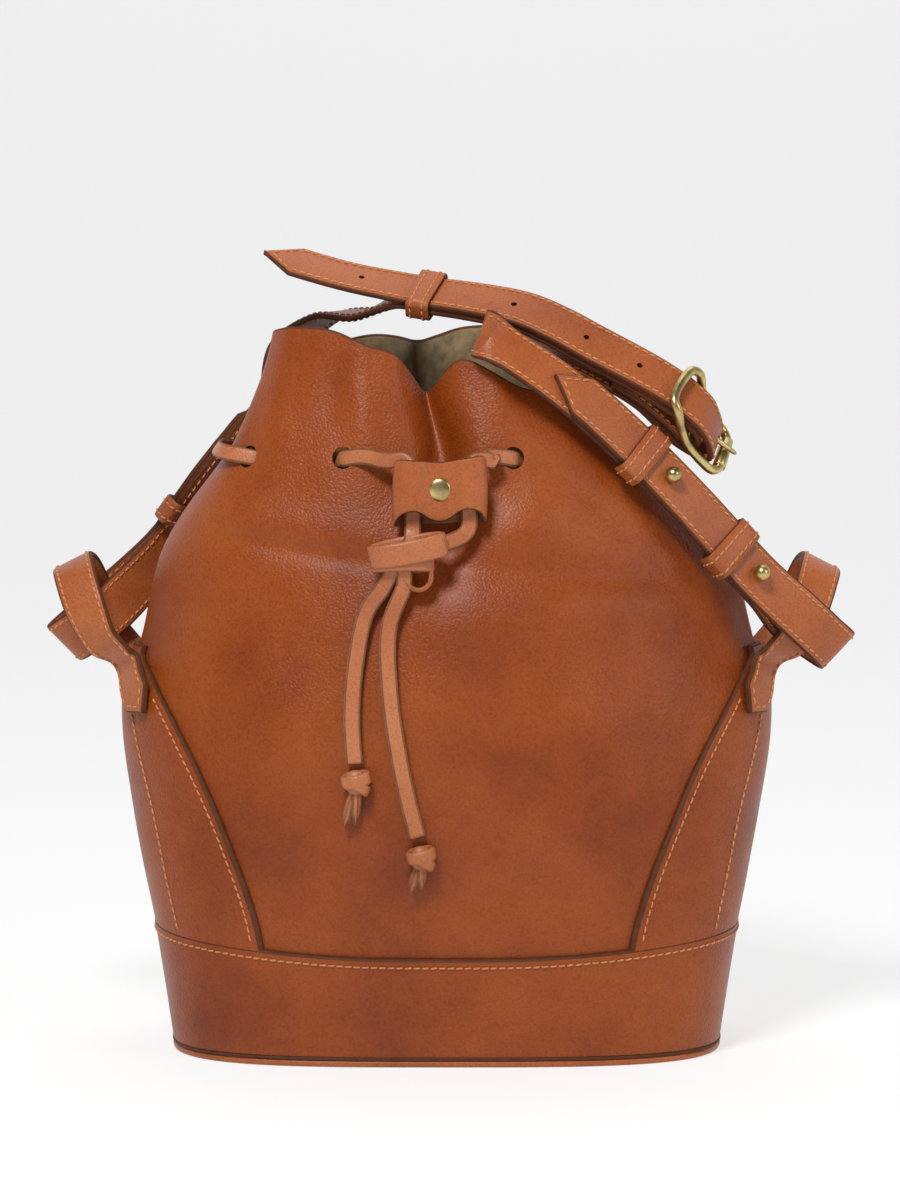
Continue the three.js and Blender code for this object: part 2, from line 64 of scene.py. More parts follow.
# ---- meshes ----
def mesh_object(name, verts, faces, materials, indices=None, smooth=True):
    mesh = bpy.data.meshes.new(name)
    mesh.from_pydata((np.asarray(verts, float) * MM).tolist(), [], faces)
    for m in materials:
        mesh.materials.append(m)
    if indices is not None:
        mesh.polygons.foreach_set("material_index", np.asarray(indices, dtype=np.int32))
    mesh.polygons.foreach_set("use_smooth", np.full(len(mesh.polygons), smooth))
    mesh.update()
    obj = bpy.data.objects.new(name, mesh)
    bpy.context.scene.collection.objects.link(obj)
    return obj


def grid_faces(rows, cols, wrap_cols=False, flip=False, start=0):
    faces = []
    last = cols if wrap_cols else cols - 1
    for i in range(rows - 1):
        for j in range(last):
            a = start + i * cols + j
            b = start + i * cols + (j + 1) % cols
            quad = (a, b, b + cols, a + cols)
            faces.append(quad[::-1] if flip else quad)
    return faces


# ---- node materials ----
def nodes_of(name):
    m = bpy.data.materials.new(name)
    m.use_nodes = True
    tree = m.node_tree
    return m, tree, tree.nodes["Principled BSDF"]


def link(tree, a, out, b, into):
    tree.links.new(a.outputs[out], b.inputs[into])


def textured(tree, kind, scale, **values):
    node = tree.nodes.new(kind)
    node.inputs["Scale"].default_value = scale
    for key, value in values.items():
        node.inputs[key].default_value = value
    coord = tree.nodes.get("coord") or tree.nodes.new("ShaderNodeTexCoord")
    coord.name = "coord"
    link(tree, coord, "Object", node, "Vector")
    return node


def ramp(tree, source, out, stops):
    node = tree.nodes.new("ShaderNodeValToRGB")
    while len(node.color_ramp.elements) < len(stops):
        node.color_ramp.elements.new(0.5)
    for element, (at, colour) in zip(node.color_ramp.elements, stops):
        element.position = at
        element.color = (*colour, 1) if len(colour) == 3 else colour
    link(tree, source, out, node, "Fac")
    return node


def bump(tree, height, out, strength, distance, below=None):
    node = tree.nodes.new("ShaderNodeBump")
    node.inputs["Strength"].default_value = strength
    node.inputs["Distance"].default_value = distance
    link(tree, height, out, node, "Height")
    if below:
        link(tree, below, "Normal", node, "Normal")
    return node


def mapped_value(tree, source, out, low, high):
    node = tree.nodes.new("ShaderNodeMapRange")
    node.inputs["To Min"].default_value = low
    node.inputs["To Max"].default_value = high
    link(tree, source, out, node, "Value")
    return node


def leather(name, tones, roughness, grain=1050.0, depth=0.0003, coat=0.06):
    """Grained hide: three tones in soft clouds, pebbles, fine pores and uneven gloss."""
    m, tree, shader = nodes_of(name)
    clouds = textured(tree, "ShaderNodeTexNoise", 14, Detail=5, Roughness=0.6)
    tone = ramp(tree, clouds, "Fac", [(0.3, tones[0]), (0.5, tones[1]), (0.72, tones[2])])
    pebbles = textured(tree, "ShaderNodeTexVoronoi", grain)
    pebbles.feature = "SMOOTH_F1"
    pores = textured(tree, "ShaderNodeTexNoise", grain * 2.4, Detail=3)
    creases = textured(tree, "ShaderNodeTexNoise", 120, Detail=5, Roughness=0.5, Distortion=0.4)
    shade = ramp(tree, pebbles, "Distance", [(0.2, (1, 1, 1)), (0.75, (0.62, 0.52, 0.46))])
    mix = tree.nodes.new("ShaderNodeMixRGB")
    mix.blend_type = "MULTIPLY"
    mix.inputs["Fac"].default_value = 0.6
    link(tree, tone, "Color", mix, "Color1")
    link(tree, shade, "Color", mix, "Color2")
    link(tree, mix, "Color", shader, "Base Color")
    soft = bump(tree, creases, "Fac", 0.3, depth * 1.8)
    coarse = bump(tree, pebbles, "Distance", 0.9, -depth, soft)
    fine = bump(tree, pores, "Fac", 0.3, depth * 0.35, coarse)
    link(tree, fine, "Normal", shader, "Normal")
    uneven = textured(tree, "ShaderNodeTexNoise", 45, Detail=4)
    gloss = mapped_value(tree, uneven, "Fac", roughness - 0.1, roughness + 0.12)
    link(tree, gloss, "Result", shader, "Roughness")
    shader.inputs["Coat Weight"].default_value = coat
    shader.inputs["Coat Roughness"].default_value = 0.34
    shader.inputs["Specular IOR Level"].default_value = 0.28
    return m


def plain(name, colour, roughness, metallic=0.0, noise=60.0, spread=0.15, depth=0.0001, sheen=0.0):
    m, tree, shader = nodes_of(name)
    cloud = textured(tree, "ShaderNodeTexNoise", noise, Detail=5)
    dark = tuple(c * (1 - spread) for c in colour)
    light = tuple(min(1, c * (1 + spread)) for c in colour)
    tone = ramp(tree, cloud, "Fac", [(0.35, dark), (0.65, light)])
    link(tree, tone, "Color", shader, "Base Color")
    fuzz = textured(tree, "ShaderNodeTexNoise", noise * 14, Detail=3)
    link(tree, bump(tree, fuzz, "Fac", 0.4, depth), "Normal", shader, "Normal")
    gloss = mapped_value(tree, cloud, "Fac", roughness * 0.85, min(1, roughness * 1.2))
    link(tree, gloss, "Result", shader, "Roughness")
    shader.inputs["Metallic"].default_value = metallic
    if not metallic:
        shader.inputs["Specular IOR Level"].default_value = 0.22
    shader.inputs["Sheen Weight"].default_value = sheen
    return m


HIDE = leather("cognac_hide", [(0.19, 0.031, 0.003), (0.285, 0.054, 0.005), (0.35, 0.078, 0.009)], 0.42)
# Strap leather is lighter than the body hide: partly its own tone, partly painted highlight, with extra green and blue
# standing in for the whitish sheen on straps, loops and slider.
STRAP = leather(
    "strap_hide", [(0.3, 0.07, 0.017), (0.4, 0.106, 0.027), (0.46, 0.136, 0.038)], 0.4, 1250, 0.0002, 0.12
)
# Dark edge colour: the leather's dyed cut edges, and on the border band of laid sheets also painted shade.
EDGE_AND_SHADE = plain("cut_edge_and_shade", (0.09, 0.027, 0.01), 0.6, noise=300, depth=0.00012)
SUEDE = plain("suede_lining", (0.30, 0.21, 0.105), 0.95, noise=220, spread=0.3, depth=0.0005, sheen=0.4)
FLESH = plain("suede_back", (0.2, 0.075, 0.028), 0.9, noise=260, spread=0.2, depth=0.0003, sheen=0.2)
THREAD = plain("thread", (0.56, 0.23, 0.085), 0.6, noise=900, spread=0.2, sheen=0.15)
BRASS = plain("antique_brass", (0.52, 0.4, 0.17), 0.3, 1.0, noise=140, spread=0.28, depth=0.00003)
PALE = plain("backdrop", (0.36, 0.36, 0.36), 0.85, noise=2, spread=0.0, depth=0.0)


# ---- the bag's skin, as in the CAD source ----
def through(ts, values):
    ts, values = np.array(ts, float), np.array(values, float)
    slope = np.gradient(values)
    for i in range(len(ts)):
        a, b = max(0, i - 1), min(len(ts) - 1, i + 1)
        slope[i] = (values[b] - values[a]) / (ts[b] - ts[a])

    def at(t):
        t = np.clip(np.asarray(t, float), ts[0], ts[-1])
        i = np.clip(np.searchsorted(ts, t, side="right") - 1, 0, len(ts) - 2)
        h = ts[i + 1] - ts[i]
        s = (t - ts[i]) / h
        rise = values[i + 1] - values[i]
        bend = slope[i] * s * (1 - s) ** 2 - slope[i + 1] * s * s * (1 - s)
        return values[i] + rise * s * s * (3 - 2 * s) + h * bend

    return at


HEIGHTS = [0, 50, 100, 145, 178, 210, 250, 283, 305]
half_width = through(HEIGHTS, [113, 121, 131, 136, 129, 120, 97, 76, 68])
half_depth = through(HEIGHTS, [68, 73, 79, 80, 76, 69, 60, 53, 50])
squareness = through(HEIGHTS, [3.4, 3.0, 2.3, 1.9, 1.8, 1.9, 2, 2, 2])
lean = through(HEIGHTS, [0, 0, 0, 0, 0, -1, -5, -11, -12])


def smooth(a, b, t):
    s = np.clip((np.asarray(t, float) - a) / (b - a), 0, 1)
    return s * s * (3 - 2 * s)


def swell(phi, centre, spread):
    turn = np.arctan2(np.sin(phi - centre), np.cos(phi - centre))
    return np.exp(-((turn / spread) ** 2))


def fold(phi, z):
    pleat = smooth(205, 300, z)
    hollow = smooth(190, 250, z)
    return (
        hollow * (7 * swell(phi, 0, 0.5) + 5 * swell(phi, pi, 0.5))
        + pleat * (24 * swell(phi, 0.06, 0.15) + 16 * swell(phi, pi, 0.2))
        + pleat * (18 * swell(phi, pi / 2, 0.22) + 18 * swell(phi, -pi / 2, 0.22))
    )


def skin(phi, z):
    phi, z = np.broadcast_arrays(np.asarray(phi, float), np.asarray(z, float))
    n = squareness(z)
    across = np.abs(np.sin(phi)) / half_width(z)
    along = np.abs(np.cos(phi)) / half_depth(z)
    r = (across**n + along**n) ** (-1 / n) - fold(phi, z)
    return np.stack([lean(z) + r * np.sin(phi), -r * np.cos(phi), z], -1)


def unit(v):
    return v / np.linalg.norm(v, axis=-1, keepdims=True)


def skin_normal(phi, z):
    e = 0.004
    round_ = skin(phi + e, z) - skin(phi - e, z)
    up = skin(phi, np.asarray(z) + 0.5) - skin(phi, np.asarray(z) - 0.5)
    return unit(np.cross(round_, up))


def off(phi, z, d):
    return skin(phi, z) + skin_normal(phi, z) * np.asarray(d)[..., None]


RIM_Z = 304


def rim(phi):
    return (
        RIM_Z
        - 24 * swell(phi, 0.06, 0.22)
        - 8 * swell(phi, -0.36, 0.26)
        - 9 * swell(phi, pi / 2, 0.35)
        - 5 * swell(phi, -pi / 2, 0.3)
        - 6 * swell(phi, pi, 0.3)
        - 27 * swell(phi, 0.92, 0.55)
        - 8 * swell(phi, rad(230), 0.5)
    )


# Soft dents and rolls of the hide: (x, z, tilt in degrees, half length, half width, height).
FRONT_ROLLS = [
    (-66, 214, -8, 34, 4.5, -1.7),
    (-66, 224, -6, 34, 8, 1.3),
    (32, 224, 20, 17, 11, 2.4),
    (50, 204, -4, 60, 7, -1.8),
    (42, 187, 2, 70, 12, 1.6),
    (0, 222, 88, 30, 8, -2.6),
    (-4, 240, 80, 24, 7, -2.5),
    (-50, 275, 75, 22, 7, -1.6),
    (-34, 268, 84, 26, 9, 1.8),
    (20, 272, 96, 22, 7, 1.6),
    (64, 232, -50, 26, 6, -1.4),
    (-96, 190, 60, 34, 8, 1.3),
    (-72, 120, 70, 40, 16, 1.2),
    (60, 95, -70, 40, 18, 1.1),
    (8, 70, 5, 60, 12, -0.9),
    (96, 176, -60, 30, 9, 1.2),
]
BACK_ROLLS = [
    (-40, 218, 10, 36, 6, -1.6),
    (-30, 232, 8, 30, 9, 1.6),
    (46, 206, -8, 46, 8, -1.6),
    (40, 190, -2, 60, 12, 1.4),
    (2, 228, 90, 34, 8, -2.0),
    (34, 270, 82, 24, 8, 1.6),
    (-60, 140, 60, 50, 18, 1.2),
    (50, 100, -50, 50, 18, 1.1),
    (0, 80, 0, 70, 14, -0.9),
]


def relief(phi, z):
    p = skin(phi, z)
    x = p[..., 0]
    front = np.cos(phi) > 0
    total = np.zeros_like(x)
    for rolls, side in ((FRONT_ROLLS, front), (BACK_ROLLS, ~front)):
        for cx, cz, tilt, a, b, h in rolls:
            c, s = math.cos(rad(tilt)), math.sin(rad(tilt))
            u = ((x - cx) * c + (z - cz) * s) / a
            v = (-(x - cx) * s + (z - cz) * c) / b
            total += np.where(side, h * np.exp(-u * u - v * v), 0)
    edge = smooth(0.02, 0.25, np.abs(np.cos(phi)))
    calm = smooth(52, 80, z)
    slow = 0.5 * np.sin(x / 17 + z / 29) + 0.35 * np.sin(z / 13 - x / 41 + 1.3) + 0.25 * np.sin((x + z) / 9.5)
    gathers = 0.3 * smooth(215, 262, z) * np.sin(phi * 23 + 0.7 * np.sin(z / 14)) * (1 - swell(phi, 0.06, 0.3))
    return (total + slow * 0.7) * calm * (0.35 + 0.65 * edge) + gathers * edge


def surface(phi, z, d=0.0):
    return off(phi, z, relief(phi, z) + d)


FLOOR_GAP = 3.2


def body_shell():
    cols = 620
    rows = 230
    phi = np.linspace(0, 2 * pi, cols, endpoint=False)[None, :]
    v = np.linspace(0, 1, rows)[:, None]
    top = rim(phi)
    z = FLOOR_GAP + (top - FLOOR_GAP) * v
    outer = surface(phi, z)
    inner = surface(phi, z[::-1], -1.9)
    lip = []
    for a in (0.35, 0.7, 1.05, 1.4, 1.75, 2.1, 2.45, 2.8):
        ring = surface(phi, top + 0 * phi, -0.95 + 0.95 * math.cos(a))
        ring[..., 2] += 0.95 * math.sin(a)
        lip.append(ring)
    stack = np.concatenate([outer, *lip, inner, outer[:1]], 0)
    n_rows = stack.shape[0]
    verts = stack[:-1].reshape(-1, 3)
    faces, mats = [], []
    count = (n_rows - 1) * cols
    for i in range(n_rows - 1):
        kind = 0 if i < rows - 1 else (1 if i < rows + len(lip) - 0 else 2)
        for j in range(cols):
            a = i * cols + j
            b = i * cols + (j + 1) % cols
            faces.append((a, b, (b + cols) % count, (a + cols) % count))
            mats.append(kind)
    return mesh_object("body_shell", verts, faces, [HIDE, EDGE_AND_SHADE, SUEDE], mats)


LACE_Z = 251
HOLE_ANGLES = [rad(a) for a in (-35, 31, 66, 114, 148, 212, 246, 294)]
HOLE_R = 4.6


def rod(p, axis, radius, length, sides=20):
    """A closed cylinder round a point, as vertices and faces."""
    axis = unit(np.asarray(axis, float))
    helper = np.array([0, 0, 1.0]) if abs(axis[2]) < 0.9 else np.array([1.0, 0, 0])
    e1 = unit(np.cross(axis, helper))
    e2 = np.cross(axis, e1)
    ring = [e1 * math.cos(a) + e2 * math.sin(a) for a in np.linspace(0, 2 * pi, sides, endpoint=False)]
    verts = [p + axis * s * length / 2 + radius * q for s in (-1, 1) for q in ring]
    faces = [(j, (j + 1) % sides, sides + (j + 1) % sides, sides + j) for j in range(sides)]
    faces += [tuple(range(sides))[::-1], tuple(range(sides, 2 * sides))]
    return verts, faces


def merged(parts):
    verts, faces = [], []
    for v, f in parts:
        n = len(verts)
        verts += list(v)
        faces += [tuple(i + n for i in q) for q in f]
    return verts, faces


def drill(obj, rods, inside):
    """Cuts the rods out of a piece and applies the cut."""
    verts, faces = merged(rods)
    tool = mesh_object("drill", verts, faces, [inside])
    cut = obj.modifiers.new("holes", "BOOLEAN")
    cut.operation = "DIFFERENCE"
    cut.solver = "EXACT"
    cut.material_mode = "TRANSFER"
    cut.object = tool
    graph = bpy.context.evaluated_depsgraph_get()
    mesh = bpy.data.meshes.new_from_object(obj.evaluated_get(graph))
    obj.modifiers.clear()
    old = obj.data
    obj.data = mesh
    bpy.data.meshes.remove(old)
    bpy.data.objects.remove(tool)
    mesh.set_sharp_from_angle(angle=rad(38))


# ---- stitches ----
def resample(points, normals, pitch, inset=0.0):
    points, normals = np.asarray(points, float), np.asarray(normals, float)
    step = np.linalg.norm(np.diff(points, axis=0), axis=1)
    run = np.concatenate([[0], np.cumsum(step)])
    count = max(1, int((run[-1] - 2 * inset) / pitch))
    at = inset + (np.arange(count) + 0.5) * (run[-1] - 2 * inset) / count
    pick = lambda a, s: np.stack([np.interp(s, run, a[:, k]) for k in range(3)], -1)
    e = 0.4
    along = unit(pick(points, at + e) - pick(points, at - e))
    return pick(points, at), along, unit(pick(normals, at))


def stitch_row(points, normals, pitch=3.5, length=2.7, radius=0.42, lift=0.12, slant=0.1, inset=1.0):
    """Short threads that dip into the leather at both ends."""
    rng = random.Random(len(points) * 7 + int(abs(points[0][0]) * 3))
    parts = []
    for p, along, out in zip(*resample(points, normals, pitch, inset)):
        side = np.cross(out, along)
        turn = slant + rng.uniform(-0.05, 0.05)
        a = unit(along + side * turn)
        s = np.cross(out, a)
        rings = []
        for t, h, w in ((-0.5, -0.35, 0.55), (-0.36, 0.02, 0.9), (0, 0.2, 1), (0.36, 0.02, 0.9), (0.5, -0.35, 0.55)):
            centre = p + a * t * length + out * (lift + h * radius * 1.6)
            rings += [centre + radius * w * (s * math.cos(k) + out * math.sin(k)) for k in np.arange(6) * pi / 3]
        faces = grid_faces(5, 6, wrap_cols=True, flip=True)
        faces += [(0, 1, 2, 3, 4, 5), (29, 28, 27, 26, 25, 24)]
        parts.append((rings, faces))
    return parts


def stitching(name, rows, body):
    verts, faces = merged([part for row in rows for part in row])
    obj = mesh_object(name, verts, faces, [THREAD])
    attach(obj, body)
    return obj


# ---- sheets that lie on the skin ----
def clustered(n, edge):
    """0 to 1 with extra samples near both ends, for rounded borders."""
    inner = np.linspace(edge, 1 - edge, n)
    ease = edge * np.array([0, 0.04, 0.15, 0.35, 0.62])
    return np.concatenate([ease, inner, 1 - ease[::-1]])


def laid_sheet(name, phi_at, z_at, nu, nv, width, height, low, thick, round_=1.1):
    """A sheet on the skin: phi_at(u, v) and z_at(phi, v) place it, and its borders are rounded."""
    u = clustered(nu, round_ / width)[None, :]
    v = clustered(nv, round_ / height)[:, None]
    u, v = np.broadcast_arrays(u, v)
    phi = phi_at(u, v)
    z = z_at(phi, v)
    near = np.minimum(np.minimum(u, 1 - u) * width, np.minimum(v, 1 - v) * height)
    crown = np.sqrt(np.clip(1 - (1 - np.clip(near / round_, 0, 1)) ** 2, 0, 1))
    top = surface(phi, z, low + thick * (0.3 + 0.7 * crown))
    under = surface(phi, z, low + 0 * crown)
    rows, cols = u.shape
    verts = np.concatenate([top.reshape(-1, 3), under.reshape(-1, 3)])
    faces = grid_faces(rows, cols)
    # The outer band of the top face, five cells in from each border, takes the dark edge colour: partly the dyed
    # rounded edge, partly painted shade standing in for the shadow along the raised edge.
    mats = []
    for i in range(rows - 1):
        for j in range(cols - 1):
            mats.append(1 if min(i, rows - 2 - i, j, cols - 2 - j) < 5 else 0)
    half = rows * cols
    faces += [tuple(k + half for k in f[::-1]) for f in grid_faces(rows, cols)]
    mats += [1] * ((rows - 1) * (cols - 1))
    loop = (
        [j for j in range(cols)]
        + [i * cols + cols - 1 for i in range(1, rows)]
        + [(rows - 1) * cols + j for j in range(cols - 2, -1, -1)]
        + [i * cols for i in range(rows - 2, 0, -1)]
    )
    for a, b in zip(loop, loop[1:] + loop[:1]):
        faces.append((a, a + half, b + half, b))
        mats.append(1)
    return mesh_object(name, verts, faces, [HIDE, EDGE_AND_SHADE], mats)


band_top = lambda phi: 46 + 9 * np.sin(phi) ** 4
GUSSET_TOP = 170.0


def gusset_half(z):
    v = np.clip((z - 50) / 116, 0, 1)
    return rad(41.6) - rad(29.6) * v**1.6 - rad(4.5) * v**8


def body_pieces():
    shell = body_shell()
    rods = []
    for phi in HOLE_ANGLES:
        n = skin_normal(phi, LACE_Z)
        n[2] = 0
        rods.append(rod(surface(phi, float(LACE_Z)), n, HOLE_R, 22, 28))
    drill(shell, rods, EDGE_AND_SHADE)
    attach(shell, "bag")
    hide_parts("front_panel", "back_panel")

    rows = []
    for name, middle in (("right", pi / 2), ("left", -pi / 2)):
        z0 = lambda phi: band_top(phi) - 4
        piece = laid_sheet(
            "side_gusset_" + name,
            lambda u, v, m=middle: m + (2 * u - 1) * gusset_half(48 + (GUSSET_TOP - 48) * v),
            lambda phi, v: z0(phi) + (GUSSET_TOP - z0(phi)) * v,
            60,
            90,
            90,
            120,
            0.25,
            2.3,
        )
        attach(piece, "bag")
        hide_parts("gusset_" + name)
        z = np.linspace(51, 150, 90)
        for side in (-1, 1):
            edge_phi = middle + side * gusset_half(z)
            r = np.linalg.norm(skin(edge_phi, z)[..., :2], axis=-1)
            for inset, stop in ((4.2, 90), (0, 0)):
                if not stop:
                    continue
                phi = edge_phi - side * inset / r
                rows.append(stitch_row(surface(phi, z, 2.55), skin_normal(phi, z)))
            inner_z = np.linspace(53, 146, 80)
            inner_phi = middle + side * (gusset_half(inner_z) * 0.42 + rad(5.5) - rad(5) * (inner_z - 53) / 93)
            rows.append(stitch_row(surface(inner_phi, inner_z, 2.55), skin_normal(inner_phi, inner_z)))
    phi = np.linspace(0, 2 * pi, 700)
    z = band_top(phi) - 3.6
    rows.append(stitch_row(surface(phi, z, 2.85), skin_normal(phi, z), inset=0))
    stitching("body_stitches", rows, "bag")

    band = laid_sheet(
        "foot_band",
        lambda u, v: -pi + 2 * pi * u,
        lambda phi, v: 3.6 + (band_top(phi) - 3.6) * v,
        300,
        30,
        720,
        46,
        0.3,
        2.5,
        1.2,
    )
    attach(band, "bag")
    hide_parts("base_band")

    # Bottom panel with a rounded rim, and the welt that closes it against the band.
    n = 320
    phi = np.linspace(0, 2 * pi, n, endpoint=False)
    rings = []
    for d, z in ((-40, 0.0), (1.6, 0.0), (2.6, 0.35), (3.0, 1.2), (2.9, 2.2), (2.2, 3.0), (-40, 3.0)):
        ring = off(phi, np.full(n, 4.0), np.full(n, d))
        ring[:, 2] = z
        rings.append(ring)
    verts = np.concatenate(rings)
    faces = grid_faces(len(rings), n, wrap_cols=True)
    faces += [tuple(range(n))[::-1], tuple(range(len(verts) - n, len(verts)))]
    base = mesh_object("bottom_panel", verts, faces, [STRAP])
    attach(base, "bag")
    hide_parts("base_panel")
    welt = tube_ring("bottom_welt", off(phi, np.full(n, 4.0), np.full(n, 2.5)) * [1, 1, 0] + [0, 0, 3.5], 0.75, EDGE_AND_SHADE)
    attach(welt, "bag")


def tube_ring(name, centres, radius, material, sides=8):
    """A closed round tube along a ring of points."""
    centres = np.asarray(centres, float)
    along = unit(np.roll(centres, -1, 0) - np.roll(centres, 1, 0))
    up = np.array([0, 0, 1.0])
    side = unit(np.cross(along, up))
    a = np.arange(sides) * 2 * pi / sides
    verts = centres[:, None] + radius * (
        side[:, None] * np.cos(a)[None, :, None] + up * np.sin(a)[None, :, None]
    )
    n = len(centres)
    faces = [
        (i * sides + j, i * sides + (j + 1) % sides, ((i + 1) % n) * sides + (j + 1) % sides, ((i + 1) % n) * sides + j)
        for i in range(n)
        for j in range(sides)
    ]
    return mesh_object(name, verts.reshape(-1, 3), faces, [material])


# ---- curves of places, as in the CAD source ----
def catmull(points, t):
    """Centripetal Catmull-Rom through the points, t from 0 to 1."""
    points = np.asarray(points, float)
    last = len(points) - 1
    t = np.clip(np.atleast_1d(np.asarray(t, float)), 0, 1) * last
    i = np.clip(np.floor(t).astype(int), 0, last - 1)
    w = (t - i)[:, None]
    first = 2 * points[0] - points[1]
    final = 2 * points[-1] - points[-2]
    ext = np.concatenate([[first], points, [final]])
    p0, p1, p2, p3 = ext[i], ext[i + 1], ext[i + 2], ext[i + 3]
    d0, d1, d2 = (np.maximum(((b - a) ** 2).sum(1) ** 0.25, 1e-4)[:, None] for a, b in ((p0, p1), (p1, p2), (p2, p3)))
    t1 = ((p1 - p0) / d0 - (p2 - p0) / (d0 + d1) + (p2 - p1) / d1) * d1
    t2 = ((p2 - p1) / d1 - (p3 - p1) / (d1 + d2) + (p3 - p2) / d2) * d1
    c2 = -3 * p1 + 3 * p2 - 2 * t1 - t2
    c3 = 2 * p1 - 2 * p2 + t1 + t2
    return p1 + t1 * w + c2 * w * w + c3 * w**3


class Spine:
    """Places with a point and the direction that a strap's face looks in there."""

    def __init__(self, places):
        self.points = [np.asarray(q[0], float) for q in places]
        self.faces = [unit(np.asarray(q[1], float)) for q in places]
        self.last = len(places) - 1

    def at(self, i, h=0.0):
        i = np.atleast_1d(np.asarray(i, float))
        t = i / self.last
        p = catmull(self.points, t)
        e = 1e-4
        along = unit(catmull(self.points, np.minimum(t + e, 1)) - catmull(self.points, np.maximum(t - e, 0)))
        out = catmull(self.faces, t)
        out = unit(out - along * (out * along).sum(1, keepdims=True))
        side = np.cross(out, along)
        return p + out * np.asarray(h, float).reshape(-1, 1), along, out, side

    def place(self, i, h=0.0, flip=1):
        p, _, out, _ = self.at(i, h)
        return (p[0], out[0] * flip)

    def even(self, step):
        """Evenly spaced positions along the curve, and the run to each."""
        fine = np.linspace(0, self.last, self.last * 60 + 1)
        p = self.at(fine)[0]
        run = np.concatenate([[0], np.cumsum(np.linalg.norm(np.diff(p, axis=0), axis=1))])
        n = max(2, int(run[-1] / step))
        want = np.linspace(0, run[-1], n + 1)
        return np.interp(want, run, fine), want


def flip_all(places):
    return [(p, -np.asarray(n)) for p, n in places]


GAP, FIT, OVERLAY = 0.9, 0.4, 2.2
STRAP_W, STRAP_T = 21.0, 2.6
LAYER = STRAP_T + 0.6
BAR_R = 1.6
RIDE = STRAP_T / 2 + BAR_R + 0.9
OVER = RIDE + LAYER
LOOP_OFF = 2 * GAP + OVERLAY + 1.5


def on_gusset(degrees, z, more=0.0):
    phi = rad(degrees)
    return (off(phi, float(z), LOOP_OFF + more), skin_normal(phi, float(z)))


FRONT_LEG = [
    on_gusset(75, 143),
    on_gusset(79.5, 153),
    on_gusset(82.5, 162, 1.5),
    ((145, -24, 172.5), (0.6, -0.79, 0.05)),
    ((151.6, -26, 186.5), (0.33, -0.92, 0.2)),
    ((157, -15.6, 200.4), (0.35, -0.6, 0.7)),
]
flip_y = lambda q: (np.array(q[0]) * [1, -1, 1], np.array(q[1]) * [1, -1, 1])
ARCH = Spine([*FRONT_LEG, ((159, 0, 204), (0.45, 0, 0.89)), *[flip_y(q) for q in reversed(FRONT_LEG)]])

SHOULDER = Spine([
    ((24, -53, 298), (0.25, -0.75, 0.6)),
    ((46, -52, 283), (0.25, -0.8, 0.55)),
    ((64, -49, 268), (0.28, -0.82, 0.5)),
    ((81, -46, 252), (0.3, -0.84, 0.45)),
    ((101, -43, 231.5), (0.3, -0.86, 0.4)),
    ((121, -39.5, 209.5), (0.25, -0.88, 0.35)),
    ((132, -36, 198), (0.25, -0.9, 0.3)),
])
WRAP_TOP = [
    SHOULDER.place(6, LAYER / 2),
    ((150, -33, 182.5), (0.15, -0.95, 0.2)),
    ((159.5, -27, 173.5), (0.45, -0.85, -0.1)),
]
WRAP_TURN = ((164.5, -19.5, 168.5), (0.72, 0, -0.69))
WRAP_BELOW = [
    ((158.5, -12, 172), (0.35, 0.85, -0.3)),
    ((146.5, -13, 180.5), (0.05, 0.97, -0.1)),
    SHOULDER.place(6, -0.6 * LAYER, -1),
]
UPPER = Spine([
    ((-78, 6, 333), (0.2, -0.55, 0.8)),
    ((-43, -1, 323), (0.2, -0.55, 0.8)),
    ((-9, -8, 316.5), (0.12, -0.6, 0.79)),
    ((32, -23, 309.5), (0.2, -0.7, 0.7)),
    ((60, -31, 296), (0.35, -0.75, 0.55)),
    ((86, -34, 281), (0.5, -0.72, 0.48)),
    ((104, -30, 264), (0.72, -0.6, 0.35)),
    ((117, -23, 250), (0.82, -0.5, 0.3)),
])
BAR_I = 6
PER_I = 20.5  # millimetres of strap for each step of the upper run near the buckle


def turned_place(i, side):
    p, along, _, _ = UPPER.at(i)
    return (p[0], along[0] * side)


TAIL_SIDE = Spine([
    *[SHOULDER.place(i, LAYER / 2) for i in (0.9, 1.5, 2, 3, 4, 5)],
    *WRAP_TOP,
    WRAP_TURN,
    *WRAP_BELOW,
    *[SHOULDER.place(i, -LAYER / 2, -1) for i in (5, 4, 3, 2, 1, 0.2)],
    ((14.5, -49, 302.5), (0.9, 0.1, -0.3)),
    ((28, -41.3, 295.2), (0.15, -0.8, 0.5)),
    UPPER.place(3.4, -3.3 * LAYER),
    UPPER.place(3.85, -2.5 * LAYER),
    *[UPPER.place(i, -OVER) for i in (4.2, 5, BAR_I)],
    turned_place(6.6, -1),
    UPPER.place(BAR_I, OVER, -1),
    UPPER.place(5.55, OVER, -1),
    UPPER.place(5, 1.4 * LAYER, -1),
    *[UPPER.place(i, LAYER, -1) for i in (4, 3.5, 3, 2.5, 2, 1.5, 1, 0)],
])
half_turn = lambda q: (np.array(q[0]) * [-1, -1, 1], np.array(q[1]) * [-1, -1, 1])


def on_back(degrees, z, d):
    return (off(rad(degrees), float(z), d), skin_normal(rad(degrees), float(z)))


